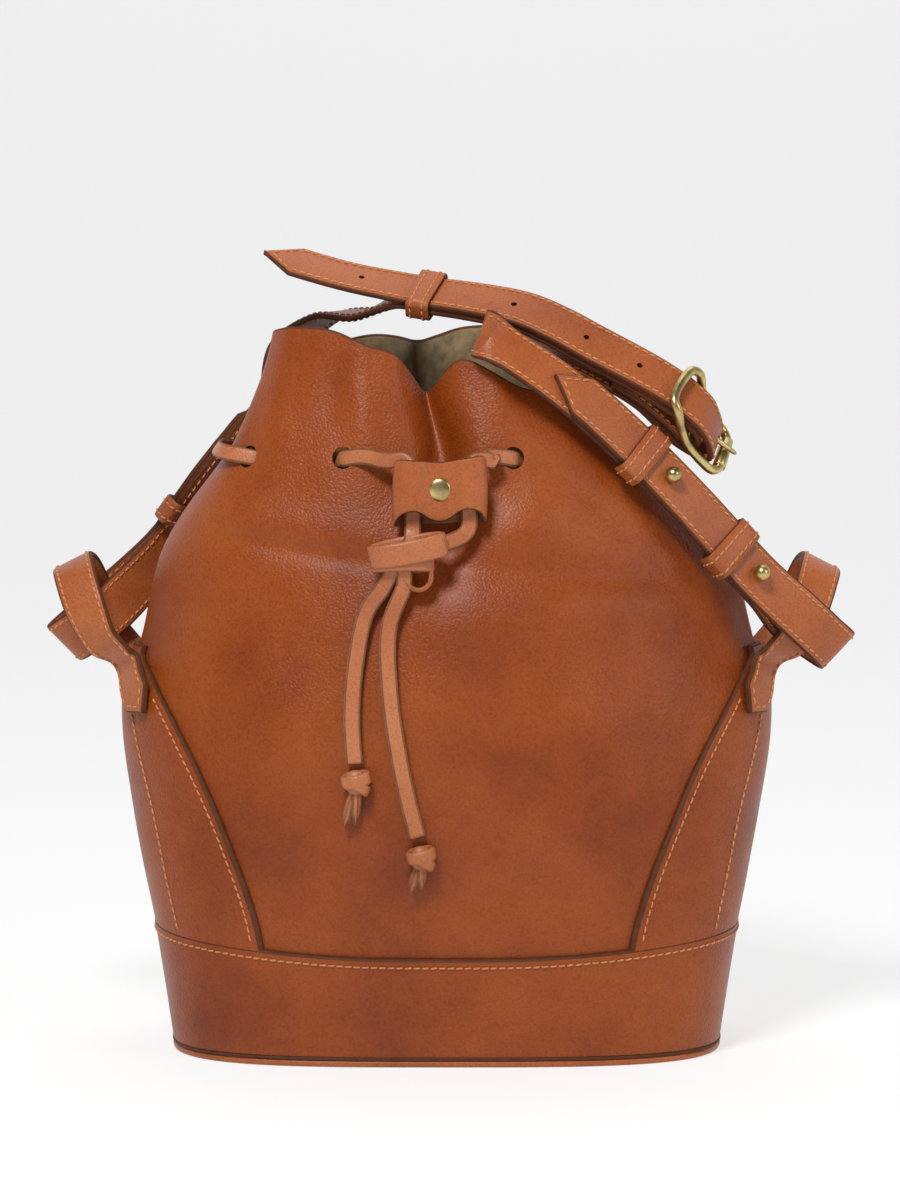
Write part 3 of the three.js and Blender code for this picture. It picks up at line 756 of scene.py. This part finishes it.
LEFT_SHOULDER = Spine([
    on_back(238, 268, 8.5),
    on_back(246, 250, 10),
    on_back(253, 234, 9),
    half_turn(SHOULDER.place(5)),
])
LEFT_RUN = (0, 0.5, 1, 1.5, 2, 2.5, 3)
BUCKLE_SIDE = Spine([
    *[UPPER.place(i, -RIDE, -1) for i in (4.4, 5, 5.7, BAR_I)],
    turned_place(BAR_I + RIDE / PER_I, 1),
    UPPER.place(BAR_I, RIDE),
    UPPER.place(5.65, RIDE),
    UPPER.place(5, LAYER / 4),
    *[UPPER.place(i, 0) for i in (4, 3.5, 3, 2.5, 2, 1.75)],
    ((-34, 8, 310), (-0.1, -0.2, 0.97)),
    ((-51, 25, 308.5), (-0.3, 0.25, 0.9)),
    on_back(236, 292, 8.5),
    *[LEFT_SHOULDER.place(i, -LAYER / 2) for i in LEFT_RUN],
    *flip_all([half_turn(q) for q in reversed(WRAP_BELOW[:2])]),
    *flip_all([half_turn(WRAP_TURN)]),
    *flip_all([half_turn(q) for q in reversed(WRAP_TOP[1:])]),
    *[LEFT_SHOULDER.place(i, LAYER / 2, -1) for i in reversed(LEFT_RUN)],
])


# ---- straps ----
def strap_section(width, thick, edge=0.8, lip=0.5):
    """Half-section outline as (across from -1 to 1, height), with a seam line between the two layers."""
    w, t = width / 2, thick / 2
    top = [(-w + edge, t - 0.08), (-w + 2 * edge + lip, t), (0, t + 0.05), (w - 2 * edge - lip, t), (w - edge, t - 0.08)]
    right = [(w - 0.3, t - 0.42), (w, t - 0.9), (w - 0.02, 0.18), (w - 0.22, 0), (w - 0.02, -0.18), (w, -t + 0.9), (w - 0.3, -t + 0.42)]
    low = [(x, -y) for x, y in reversed(top)]
    left = [(-x, -y) for x, y in right]
    return top + right + low + left, len(top), len(right)


def sweep_strap(name, spine, width, thick, step, ends, materials=None, lift=0.0, wobble=0.0):
    """A strap with rounded, sealed edges. ends(run, total) gives the share of its width near its ends."""
    i, run = spine.even(step)
    p, along, out, side = spine.at(i, lift)
    outline, n_top, n_side = strap_section(width, thick)
    share = np.array([ends(s, run[-1]) for s in run])
    wave = wobble * np.sin(run / 17.0)[:, None]
    rings = []
    w = width / 2
    for x, h in outline:
        x_scaled = np.sign(x) * np.maximum(np.abs(x) - w * (1 - share), 0.05)[:, None] if x else np.zeros((len(i), 1))
        rings.append(p + side * x_scaled + out * (h + wave))
    verts = np.stack(rings, 1)
    n = len(outline)
    faces = grid_faces(len(i), n, wrap_cols=True)
    kinds = []
    for _ in range(len(i) - 1):
        for j in range(n):
            edge = (n_top - 1 <= j < n_top + n_side) or (j >= 2 * n_top + n_side - 1)
            kinds.append(1 if edge else 0)
    faces += [tuple(range(n))[::-1], tuple(range((len(i) - 1) * n, len(i) * n))]
    kinds += [1, 1]
    return mesh_object(name, verts.reshape(-1, 3), faces, materials or [STRAP, EDGE_AND_SHADE], kinds)


def pointed(tip0, tip1, width=STRAP_W):
    def share(s, total):
        a = 1.0 if not tip0 else min(1.0, 0.03 + s / tip0)
        b = 1.0 if not tip1 else min(1.0, 0.03 + (total - s) / tip1)
        return min(a, b)

    return share


def strap_stitches(spine, width, thick, inset, start, stop, both=True, margin=2.3, step=3.5, caps=()):
    """Rows along both borders of a strap, on one or both faces, closed by a V at pointed ends."""
    i, run = spine.even(2.0)
    keep = (run > start) & (run < run[-1] - stop)
    p, along, out, side = (a[keep] for a in spine.at(i))
    rows = []
    y = width / 2 - margin
    for face in (1, -1) if both else (1,):
        for edge in (-1, 1):
            line = p + side * y * edge + out * face * (thick / 2 - 0.02)
            rows.append(stitch_row(line, out * face, step))
    for end, reach in caps:
        index = 0 if end == 0 else -1
        q, a, o, s = p[index], along[index], out[index], side[index]
        a = -a if end == 0 else a
        for face in (1, -1) if both else (1,):
            base = q + o * face * (thick / 2 - 0.02)
            for edge in (-1, 1):
                tip = base + a * reach
                rows.append(stitch_row([base + s * y * edge, tip], [o * face, o * face], step, inset=0.6))
    return rows


def strap_pieces():
    step = 1.2
    tail = sweep_strap("strap_half_tail", TAIL_SIDE, STRAP_W, STRAP_T, step, pointed(15, 15))
    holes = [rod(*stud_axis(i, SHOULDER), 2.0, 12) for i in (3.5, 5.65)]
    holes += [rod(*stud_axis(i, UPPER, LAYER), 1.25, 5) for i in (1.2, 2, 2.9, 3.9, 4.7)]
    p, along, out, side = (a[0] for a in UPPER.at(BAR_I))
    aim = prong_aim()
    holes.append(rod(p + aim * 17, aim, 1.9, 22))
    drill(tail, holes, EDGE_AND_SHADE)
    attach(tail, "shoulder_strap")
    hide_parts("strap_tail_side")
    buckle = sweep_strap("strap_half_buckle", BUCKLE_SIDE, STRAP_W, STRAP_T, step, pointed(3, 15))
    drill(buckle, [rod(*stud_axis(0.75, LEFT_SHOULDER), 2.0, 12), rod(p + along * 1.0, side, 6.2, 5)], EDGE_AND_SHADE)
    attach(buckle, "shoulder_strap")
    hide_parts("strap_buckle_side")
    rows = strap_stitches(TAIL_SIDE, STRAP_W, STRAP_T, 2.3, 14, 14, caps=((0, 10.5), (1, 10.5)))
    rows += strap_stitches(BUCKLE_SIDE, STRAP_W, STRAP_T, 2.3, 3, 14, caps=((1, 10.5),))
    stitching("strap_stitches", rows, "shoulder_strap")

    loop_width, loop_thick = 18.0, 3.0
    rows = []
    for name, turn in (("right", 1), ("left", -1)):
        arch = Spine([(np.array(p) * [turn, turn, 1], np.array(n) * [turn, turn, 1]) for p, n in zip(ARCH.points, ARCH.faces)])
        piece = sweep_strap("carry_loop_" + name, arch, loop_width, loop_thick, step, pointed(9, 9))
        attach(piece, "bag")
        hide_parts("side_loop_" + name)
        rows += strap_stitches(arch, loop_width, loop_thick, 2.2, 10, 10, both=False, margin=2.2, caps=((0, 7), (1, 7)))
    stitching("loop_stitches", rows, "bag")


def stud_axis(i, spine, h=0.0):
    p, _, out, _ = spine.at(i, h)
    return p[0], out[0]


def prong_aim():
    p = UPPER.at(BAR_I)[0][0]
    top = UPPER.at(BAR_I + ROLLER_S / PER_I, 4.4)[0][0]
    return unit(top - p)


PAIR = LAYER / 2 + STRAP_T / 2
ROLLER_S = 18.5


def keeper_piece(name, node, spine, i, low, high, body):
    """A leather sleeve round both strap layers, with two stitch rows."""
    here = spine.at([i - 0.25, i + 0.25])[0]
    per = np.linalg.norm(here[1] - here[0]) * 2
    length, wall = 11.0, 1.7
    half_w, half_h = STRAP_W / 2 + 0.55, (high - low) / 2 + 0.5
    middle = (high + low) / 2
    corner = 1.4
    ring = []
    for cx, cy, a0 in ((1, 1, 0), (-1, 1, 90), (-1, -1, 180), (1, -1, 270)):
        for a in np.linspace(a0, a0 + 90, 5):
            c, s = math.cos(rad(a)), math.sin(rad(a))
            ring.append((cx * (half_w - corner) + corner * c, cy * (half_h - corner) + corner * s, c, s))
        if cx == cy:
            continue
    # extra points along the flats, so the faces can crown a little
    dense = []
    for a, b in zip(ring, ring[1:] + ring[:1]):
        dense.append(a)
        if math.dist(a[:2], b[:2]) > 3:
            for k in (0.12, 0.3, 0.5, 0.7, 0.88):
                dense.append(tuple(a[m] + (b[m] - a[m]) * k for m in range(4)))
    across = [(-1, 0.0), (-1, 0.55), (-0.985, 0.85), (-0.93, 1), (-0.4, 1.05), (0, 1.08), (0.4, 1.05), (0.93, 1), (0.985, 0.85), (1, 0.55), (1, 0.0)]
    verts = []
    for t, h in across:
        p, along, out, side = (a[0] for a in spine.at(i + t * length / 2 / per))
        for y, z, c, s in dense:
            verts.append(p + side * (y + c * wall * h) + out * (middle + z + s * wall * h))
    rows, cols = len(across), len(dense)
    faces = grid_faces(rows, cols, wrap_cols=True)
    kinds = []
    for r in range(rows - 1):
        kinds += [1 if r in (0, 1, 8, 9) else 0] * cols
    last = (rows - 1) * cols
    for j in range(cols):
        faces.append((j, last + j, last + (j + 1) % cols, (j + 1) % cols))
        kinds.append(1)
    piece = mesh_object(name, verts, faces, [STRAP, EDGE_AND_SHADE], kinds)
    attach(piece, body)
    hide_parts(node)
    stitch = []
    for t in (-0.52, 0.52):
        p, along, out, side = (a[0] for a in spine.at(i + t * length / 2 / per))
        line, normals = [], []
        for y, z, c, s in dense + dense[:1]:
            n = unit(side * c + out * s)
            line.append(p + side * (y + c * wall * 1.03) + out * (middle + z + s * wall * 1.03))
            normals.append(n)
        stitch.append(stitch_row(line, normals, 3.3, 2.5, 0.4, inset=0))
    stitching(name + "_stitches", stitch, body)


def lathe(name, profile, origin, axis, n, material, body, replaces=None):
    axis = unit(np.asarray(axis, float))
    helper = np.array([0, 0, 1.0]) if abs(axis[2]) < 0.9 else np.array([1.0, 0, 0])
    e1 = unit(np.cross(helper, axis))
    e2 = np.cross(axis, e1)
    verts = [
        origin + axis * h + r * (e1 * math.cos(a) + e2 * math.sin(a))
        for r, h in profile
        for a in np.linspace(0, 2 * pi, n, endpoint=False)
    ]
    faces = grid_faces(len(profile), n, wrap_cols=True)
    faces += [tuple(range(n))[::-1], tuple(range(len(verts) - n, len(verts)))]
    piece = mesh_object(name, verts, faces, [material])
    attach(piece, body)
    if replaces:
        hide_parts(replaces)
    return piece


def arc(cx, cy, r, a0, a1, n):
    return [(cx + r * math.cos(rad(a)), cy + r * math.sin(rad(a))) for a in np.linspace(a0, a1, n)]


def studs_and_keepers():
    for name, node, spine, i in (
        ("ball_stud_right_upper", "stud_right_upper", SHOULDER, 3.5),
        ("ball_stud_right_lower", "stud_right_lower", SHOULDER, 5.65),
        ("ball_stud_left", "stud_left", LEFT_SHOULDER, 0.75),
    ):
        p, out = stud_axis(i, spine)
        q = PAIR
        profile = [(0.3, -q - 1.6), (3.6, -q - 1.6), (4.2, -q - 1.2), (4.2, -q - 0.3), (1.6, -q - 0.2), (1.6, q)]
        profile += [(2.3, q + 0.02), (2.4, q + 0.3), (1.9, q + 0.6)]
        profile += arc(0, q + 3.5, 3.45, -55, 88, 18)
        lathe(name, profile, p, out, 32, BRASS, "shoulder_strap", node)
    keeper_piece("sleeve_right_upper", "keeper_right_upper", SHOULDER, 3, -PAIR, PAIR, "keeper_right_upper")
    keeper_piece("sleeve_right_lower", "keeper_right_lower", SHOULDER, 4.85, -PAIR, PAIR, "keeper_right_lower")
    keeper_piece("sleeve_tail", "keeper_tail", UPPER, 2, -STRAP_T / 2, LAYER + STRAP_T / 2, "keeper_tail")
    keeper_piece("sleeve_left", "keeper_left", LEFT_SHOULDER, 2.55, -PAIR, PAIR, "keeper_left")


# ---- buckle ----
def in_buckle(s, y, h):
    p, _, _, side = UPPER.at(BAR_I + s / PER_I, h)
    return p[0] + side[0] * y


def closed_curve(points, n):
    """A smooth closed curve through the points, evenly sampled by index."""
    points = np.asarray(points, float)
    k = len(points)
    t = np.linspace(0, k, n, endpoint=False)
    i = np.floor(t).astype(int)
    w = (t - i)[:, None]
    p0, p1, p2, p3 = (points[(i + d) % k] for d in (-1, 0, 1, 2))
    d0, d1, d2 = (np.maximum(((b - a) ** 2).sum(1) ** 0.25, 1e-4)[:, None] for a, b in ((p0, p1), (p1, p2), (p2, p3)))
    t1 = ((p1 - p0) / d0 - (p2 - p0) / (d0 + d1) + (p2 - p1) / d1) * d1
    t2 = ((p2 - p1) / d1 - (p3 - p1) / (d1 + d2) + (p3 - p2) / d2) * d1
    return p1 + t1 * w + (-3 * p1 + 3 * p2 - 2 * t1 - t2) * w * w + (2 * p1 - 2 * p2 + t1 + t2) * w**3


def tube(points, radii, closed=False, sides=16, flat=None):
    """Vertices and faces of a tube; flat=(axis, factor) squeezes its section along an axis."""
    points = np.asarray(points, float)
    radii = np.broadcast_to(np.asarray(radii, float), len(points))
    if closed:
        along = unit(np.roll(points, -1, 0) - np.roll(points, 1, 0))
    else:
        along = unit(np.gradient(points, axis=0))
    up = flat[0] if flat else np.array([0.31, 0.41, 0.86])
    e1 = unit(np.cross(along, up))
    e2 = np.cross(along, e1)
    squeeze = flat[1] if flat else 1.0
    a = np.linspace(0, 2 * pi, sides, endpoint=False)
    ring = e1[:, None] * np.cos(a)[None, :, None] + e2[:, None] * np.sin(a)[None, :, None] * squeeze
    verts = (points[:, None] + radii[:, None, None] * ring).reshape(-1, 3)
    n = len(points)
    if closed:
        faces = [
            (i * sides + j, i * sides + (j + 1) % sides, (i + 1) % n * sides + (j + 1) % sides, (i + 1) % n * sides + j)
            for i in range(n)
            for j in range(sides)
        ]
    else:
        faces = grid_faces(n, sides, wrap_cols=True)
        faces += [tuple(range(sides))[::-1], tuple(range((n - 1) * sides, n * sides))]
    return verts, faces


def buckle_pieces():
    w = STRAP_W / 2 + 0.55 + 1.7
    rail = [
        (-14, -w + 3, 10.6), (-14, w - 3, 10.6), (-11, w, 9.6), (-5, w, 3.4), (0, w, 0), (9, w, -1.2),
        (16, w - 0.6, -0.8), (ROLLER_S, w - 4, 0), (ROLLER_S, 0, 0), (ROLLER_S, -w + 4, 0),
        (16, -w + 0.6, -0.8), (9, -w, -1.2), (0, -w, 0), (-5, -w, 3.4), (-11, -w, 9.6),
    ]
    line = closed_curve([in_buckle(*q) for q in rail], 240)
    p, along, out, side = (a[0] for a in UPPER.at(BAR_I))
    bar = [p + side * y for y in np.linspace(-w, w, 20)]
    verts, faces = merged([tube(line, 2.0, True, 18), tube(bar, 1.55, False, 16)])
    hoop = mesh_object("buckle_hoop", verts, faces, [BRASS])
    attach(hoop, "buckle_frame")
    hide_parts("buckle_frame")

    aim = prong_aim()
    shaft = [p + aim * s for s in np.linspace(2.4, 21.8, 24)]
    taper = [1.15 - 0.25 * smooth(15, 22, s) - (0.5 if k == 23 else 0) for k, s in enumerate(np.linspace(2.4, 21.8, 24))]
    ring = [p + (along * math.cos(a) + out * math.sin(a)) * 2.45 for a in np.linspace(0, 2 * pi, 28, endpoint=False)]
    verts, faces = merged([tube(shaft, taper, False, 14), tube(ring, 0.62, True, 12, (side, 2.2))])
    prong = mesh_object("buckle_tongue", verts, faces, [BRASS])
    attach(prong, "buckle_prong")
    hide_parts("buckle_prong")

    q, a2, o2, s2 = (a[0] for a in UPPER.at(BAR_I + ROLLER_S / PER_I))
    half = w - 4.5
    profile = [(2.05, -half), (2.6, -half), (2.8, -half + 0.25), (2.8, half - 0.25), (2.6, half), (2.05, half)]
    n = 36
    verts = [
        q + s2 * h + r * (a2 * math.cos(a) + o2 * math.sin(a))
        for r, h in profile
        for a in np.linspace(0, 2 * pi, n, endpoint=False)
    ]
    rows = len(profile)
    faces = grid_faces(rows, n, wrap_cols=True, flip=True)
    faces += [(j, (rows - 1) * n + j, (rows - 1) * n + (j + 1) % n, (j + 1) % n) for j in range(n)]
    roller = mesh_object("buckle_barrel", verts, faces, [BRASS])
    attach(roller, "buckle_roller")
    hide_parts("buckle_roller")


# ---- drawstring, slider and knots ----
def front_point(x, z, d):
    """The front skin at x and z, pushed d out along -Y."""
    a, b = rad(-80), rad(80)
    for _ in range(30):
        m = (a + b) / 2
        if skin(m, float(z))[0] < x:
            a = m
        else:
            b = m
    return np.array([x, skin(a, float(z))[1] - d, z])


AHEAD = np.array([0, -1.0, 0])
SLIDER = (-2.7, -70.5, 225.0, 249.5)
RIVET_Z = 239.0


def lace_at(phi, d):
    return (off(phi, float(LACE_Z), d), skin_normal(phi, float(LACE_Z)))


def lace_pass(phi, way):
    return [lace_at(phi - way * rad(7), 4.0), lace_at(phi, -0.9), lace_at(phi + way * rad(5), -6.5)]


def lace_drop(side):
    x, y = SLIDER[:2]
    route = [(21.5, 5.4, 250.4), (15.2, 2.2, 250.9), (11.7, 0.4, 246.5), (11.3, 0, 236), (11.2, -0.3, 222)]
    places = [(np.array([x + side * a, y + b, z]), AHEAD) for a, b, z in route]
    end = -3.0 if side > 0 else -14.5  # both strands converge on the knot
    return places + [(np.array([end, y - 4.5, 216]), AHEAD)]


H = HOLE_ANGLES
LACE = Spine([
    *lace_drop(1)[::-1],
    *lace_pass(H[1], 1),
    *lace_pass(H[2], -1)[::-1],
    lace_at(rad(90), 5.0),
    *lace_pass(H[3], 1),
    *lace_pass(H[4], -1)[::-1],
    lace_at(pi, 5.0),
    *lace_pass(H[5], 1),
    *lace_pass(H[6], -1)[::-1],
    lace_at(rad(270), 5.0),
    *lace_pass(H[7], 1),
    *lace_pass(H[0] + 2 * pi, -1)[::-1],
    *lace_drop(-1),
])
KNOT = np.array([-13.5, -77.5, 208.5])
TAILS = {
    "left": [(-25.5, 199.5, 7.5), (-32.5, 189, 5), (-37, 168, 4), (-38.6, 146, 4), (-37.5, 127.5, 4.5)],
    "right": [(-17.5, 199, 8), (-23.4, 183, 5), (-23, 156, 4), (-19.8, 133, 4), (-16, 114, 4), (-11.8, 97.6, 4.5)],
}
ENDS = {"left": (-37, 120, -39.5, 101), "right": (-10.4, 89, -12.5, 73.5)}


def lace_band(name, spine, width, thick, step=1.2, wobble=0.0):
    return sweep_strap(name, spine, width, thick, step, lambda s, t: 1.0, [LACE_HIDE, FLESH], 0, wobble)


def band_ring(centre, radii, axes, width, thick, twist=0.0, n=64):
    """A flat lace wound once round; axes are its two radial directions, and twist slides it along the third."""
    e1, e2 = (unit(np.asarray(a, float)) for a in axes)
    e3 = np.cross(e1, e2)
    outline, _, _ = strap_section(width, thick, 0.5, 0.3)
    verts = []
    for a in np.linspace(0, 2 * pi, n, endpoint=False):
        c, s = math.cos(a), math.sin(a)
        place = centre + e1 * radii[0] * c + e2 * radii[1] * s + e3 * twist * math.sin(a)
        out = unit(e1 * c / radii[0] + e2 * s / radii[1])
        for y, h in outline:
            verts.append(place + e3 * y + out * h)
    m = len(outline)
    faces = [
        (i * m + j, i * m + (j + 1) % m, (i + 1) % n * m + (j + 1) % m, (i + 1) % n * m + j)
        for i in range(n)
        for j in range(m)
    ]
    return verts, [f[::-1] for f in faces]


def blob(centre, radii, n=18):
    verts, faces = [], []
    for i in range(1, n):
        a = pi * i / n
        for j in range(2 * n):
            b = pi * j / n
            verts.append(centre + np.array([radii[0] * math.sin(a) * math.cos(b), radii[1] * math.sin(a) * math.sin(b), radii[2] * math.cos(a)]))
    faces = grid_faces(n - 1, 2 * n, wrap_cols=True, flip=True)
    faces += [tuple(range(2 * n)), tuple(range(len(verts) - 2 * n, len(verts)))[::-1]]
    return verts, faces


# Lace tones are lifted above the lace's own colour: partly painted highlight, standing in for the pinkish sheen on the
# rounded laces.
LACE_HIDE = leather(
    "lace_hide", [(0.35, 0.1, 0.035), (0.46, 0.15, 0.058), (0.54, 0.2, 0.085)], 0.38, 1500, 0.0002, 0.16
)


def drawstring_pieces():
    neck = lace_band("lace_neck", LACE, 6.8, 1.9, 1.4, 0.25)
    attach(neck, "bag")
    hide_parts("drawstring_neck")

    # Overhand knot: two flat turns round the strands and a curl that opens forwards below them.
    parts = [
        band_ring(KNOT + [-2.2, -0.5, 6.0], (15.2, 5.4), ((1, 0, 0.19), (0, 1, 0)), 9.6, 1.9, 0.8),
        band_ring(KNOT + [-4.4, 0.3, 0.2], (12.0, 4.9), ((1, 0, 0.02), (0, 1, 0)), 6.6, 1.9, -0.8),
        band_ring(KNOT + [1.6, 0.9, -3.8], (5.6, 6.6), ((1, 0, 0.35), (-0.35, 0.12, 1)), 6.2, 1.8, 0.5),
        blob(KNOT + [-3, 0.9, 4.6], (11.8, 4.0, 5.0)),
    ]
    verts, faces = merged(parts)
    knot = mesh_object("lace_knot", verts, faces, [LACE_HIDE])
    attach(knot, "bag")
    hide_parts("drawstring_knot")

    for side, top in (("left", (-21, -78.6, 208)), ("right", (-17, -79.6, 207.5))):
        first, second = (front_point(*q) for q in TAILS[side][:2])
        stub = lace_band(
            "knot_strand_" + side,
            Spine([(top, (0, -1, 0.1)), (first, (0, -1, 0.1)), ((first * 7 + second) / 8, (0, -1, 0.1))]),
            6.5,
            2.0,
        )
        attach(stub, "bag")
        body = "tail_" + side
        spine = Spine([(front_point(*q), (0, -1, 0.1)) for q in TAILS[side]])
        cx, cz, tx, tz = ENDS[side]
        centre = front_point(cx, cz, 5.6)
        tip = front_point(tx, tz, 4.4)
        knot_parts = [
            band_ring(centre + [0, 0, 1.2], (5.2, 3.1), ((1, 0, 0.22), (0, 1, 0)), 5.4, 1.7, 0.8, 40),
            band_ring(centre + [0.6, 0, -1.8], (4.4, 2.9), ((1, 0, -0.5), (0, 1, 0)), 4.6, 1.7, -0.7, 40),
            blob(centre, (4.6, 2.9, 5.2), 12),
        ]
        verts, faces = merged(knot_parts)
        end_knot = mesh_object("end_knot_" + side, verts, faces, [LACE_HIDE])
        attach(end_knot, body)
        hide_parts("tail_knot_" + side)
        for k, spread in enumerate((-1.5, 1.5)):
            end = Spine([
                (centre + [spread * 0.4, 0, -3], (0.1 * spread, -1, 0)),
                ((centre + tip) / 2 + [spread, -0.8 * k, 0], (0.35 * spread, -1, 0.1)),
                (tip + [spread * 1.3, -0.5 * k, 1.5 * k], (0.5 * spread, -1, 0.2)),
            ])
            flap = sweep_strap(
                f"tail_tip_{side}_{k}", end, 4.2, 1.4, 1.2, pointed(0, 5), [LACE_HIDE, FLESH]
            )
            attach(flap, body)
        tail = lace_band("lace_tail_" + side, spine, 6.8, 2.3, 1.2, 0.2)
        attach(tail, body)
        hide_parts("drawstring_tail_" + side)


def slider_pieces():
    sx, sy, low, high = SLIDER
    # Plan outline of the folded sleeve: two channels either side of the pinched middle.
    half = [(-19, 0), (-18.2, -3.3), (-15.6, -5.6), (-12, -6.4), (-8.4, -5.7), (-5.0, -4.1), (-1.6, -3.2)]
    lower = half + [(-x, y) for x, y in reversed(half)]
    outline = np.array(lower + [(-x, -y) for x, y in lower[1:-1]], float)
    outer = closed_curve(np.c_[outline, np.zeros(len(outline))], 180)[:, :2]
    tangent = unit(np.roll(outer, -1, 0) - np.roll(outer, 1, 0))
    normal = np.c_[tangent[:, 1], -tangent[:, 0]]
    # In the pinched middle the two walls meet; elsewhere the wall is 1.9 mm.
    x = outer[:, 0]
    wall = np.where(np.abs(x) < 6.4, np.minimum(2.4, np.abs(outer[:, 1]) - 0.12), 1.9)
    inner = outer - normal * wall[:, None]
    rows = []
    levels = np.linspace(0, 1, 16)

    # The front wall is cut higher over each channel, dips at the rivet and covers the lace at the top.
    out_x = np.abs(outer[:, 0]) / 19
    front = smooth(0, 5.8, -outer[:, 1])
    bottom = low + front * (4.2 - 1.8 * np.cos(2 * pi * out_x / 1.2))
    top = high + front * (1.4 + 1.8 * out_x**2) - 0.4 - 4.5 * smooth(-1.5, 2.5, outer[:, 1])

    def ring(points, t):
        z = bottom + (top - bottom) * t + 0.05 * points[:, 0]
        bulge = 1 + 0.03 * math.sin(pi * t)
        return np.c_[sx + points[:, 0] * bulge, sy + points[:, 1] * bulge, z]

    for t in levels:
        rows.append(ring(outer, t))
    rows.append(ring(outer * 0.97 + inner * 0.03, 1.012))
    rows.append(ring(outer * 0.5 + inner * 0.5, 1.02))
    for t in levels[::-1]:
        rows.append(ring(inner, t))
    rows.append(ring(outer * 0.5 + inner * 0.5, -0.02))
    n = len(outer)
    verts = np.concatenate(rows)
    count = len(rows)
    faces, kinds = [], []
    for i in range(count):
        for j in range(n):
            k = (i + 1) % count
            faces.append((i * n + j, i * n + (j + 1) % n, k * n + (j + 1) % n, k * n + j))
            kinds.append(0 if i < 15 else (1 if i in (15, 16, 17, count - 1, count - 2) else 2))
    sleeve = mesh_object("slider_sleeve", verts, faces, [STRAP, EDGE_AND_SHADE, FLESH], kinds)
    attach(sleeve, "slider_assembly")
    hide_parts("slider")
    origin = np.array([sx, sy, RIVET_Z])
    dome = [(0.2, -3.0), (1.4, -3.0), (1.4, 2.8), (4.7, 2.9), (4.75, 3.3), (4.5, 3.75), (3.6, 4.15), (2.2, 4.4), (0.6, 4.5), (0.1, 4.5)]
    lathe("rivet_dome", dome, origin, (0, -1, 0), 48, BRASS, "slider_assembly", "slider_rivet_cap")
    back = [(0.2, 3.05), (3.7, 3.1), (3.9, 3.4), (3.6, 3.9), (2.6, 4.4), (0.2, 4.5)]
    lathe("rivet_foot", back, origin, (0, 1, 0), 40, BRASS, "slider_assembly", "slider_rivet_back")


# ---- floor and light ----
def studio():
    """A white sweep that glows a little, and three soft lamps."""
    turn = [(1500 + 900 * math.sin(a), 900 - 900 * math.cos(a)) for a in np.linspace(0, pi / 2, 14)]
    profile = [(-40000, 0), (0, 0), *turn, (2400, 5000)]
    verts = [(x, y, z) for y, z in profile for x in (-40000, 40000)]
    faces = [(2 * i, 2 * i + 1, 2 * i + 3, 2 * i + 2) for i in range(len(profile) - 1)]
    shader = PALE.node_tree.nodes["Principled BSDF"]
    shader.inputs["Emission Color"].default_value = (1, 1, 1, 1)
    shader.inputs["Emission Strength"].default_value = 0.64
    mesh_object("studio_sweep", verts, faces, [PALE])
    scene = bpy.context.scene
    scene.view_settings.view_transform = "Standard"
    world = bpy.data.worlds.new("studio")
    world.use_nodes = True
    world.node_tree.nodes["Background"].inputs["Color"].default_value = (1, 1, 1, 1)
    world.node_tree.nodes["Background"].inputs["Strength"].default_value = 0.16
    scene.world = world
    for name, place, aim, size, power in (
        ("key", (-0.35, -1.1, 1.4), (0, 0, 0.2), 0.4, 22),
        ("side", (1.4, -0.9, 0.8), (0, 0, 0.17), 0.7, 6),
        ("back", (0.2, 0.7, 1.9), (0, 0.5, 0.2), 1.2, 5),
    ):
        data = bpy.data.lights.new(name, "AREA")
        data.energy = power
        data.size = size
        lamp = bpy.data.objects.new(name, data)
        lamp.location = place
        dx, dy, dz = np.array(aim) - np.array(place)
        lamp.rotation_euler = (math.atan2(math.hypot(dx, dy), -dz), 0, math.atan2(dy, dx) - pi / 2)
        scene.collection.objects.link(lamp)


studio()
drawstring_pieces()
slider_pieces()
body_pieces()
strap_pieces()
studs_and_keepers()
buckle_pieces()

board = bpy.data.objects.get("base_board")
if board:
    board.data.materials.clear()
    board.data.materials.append(SUEDE)
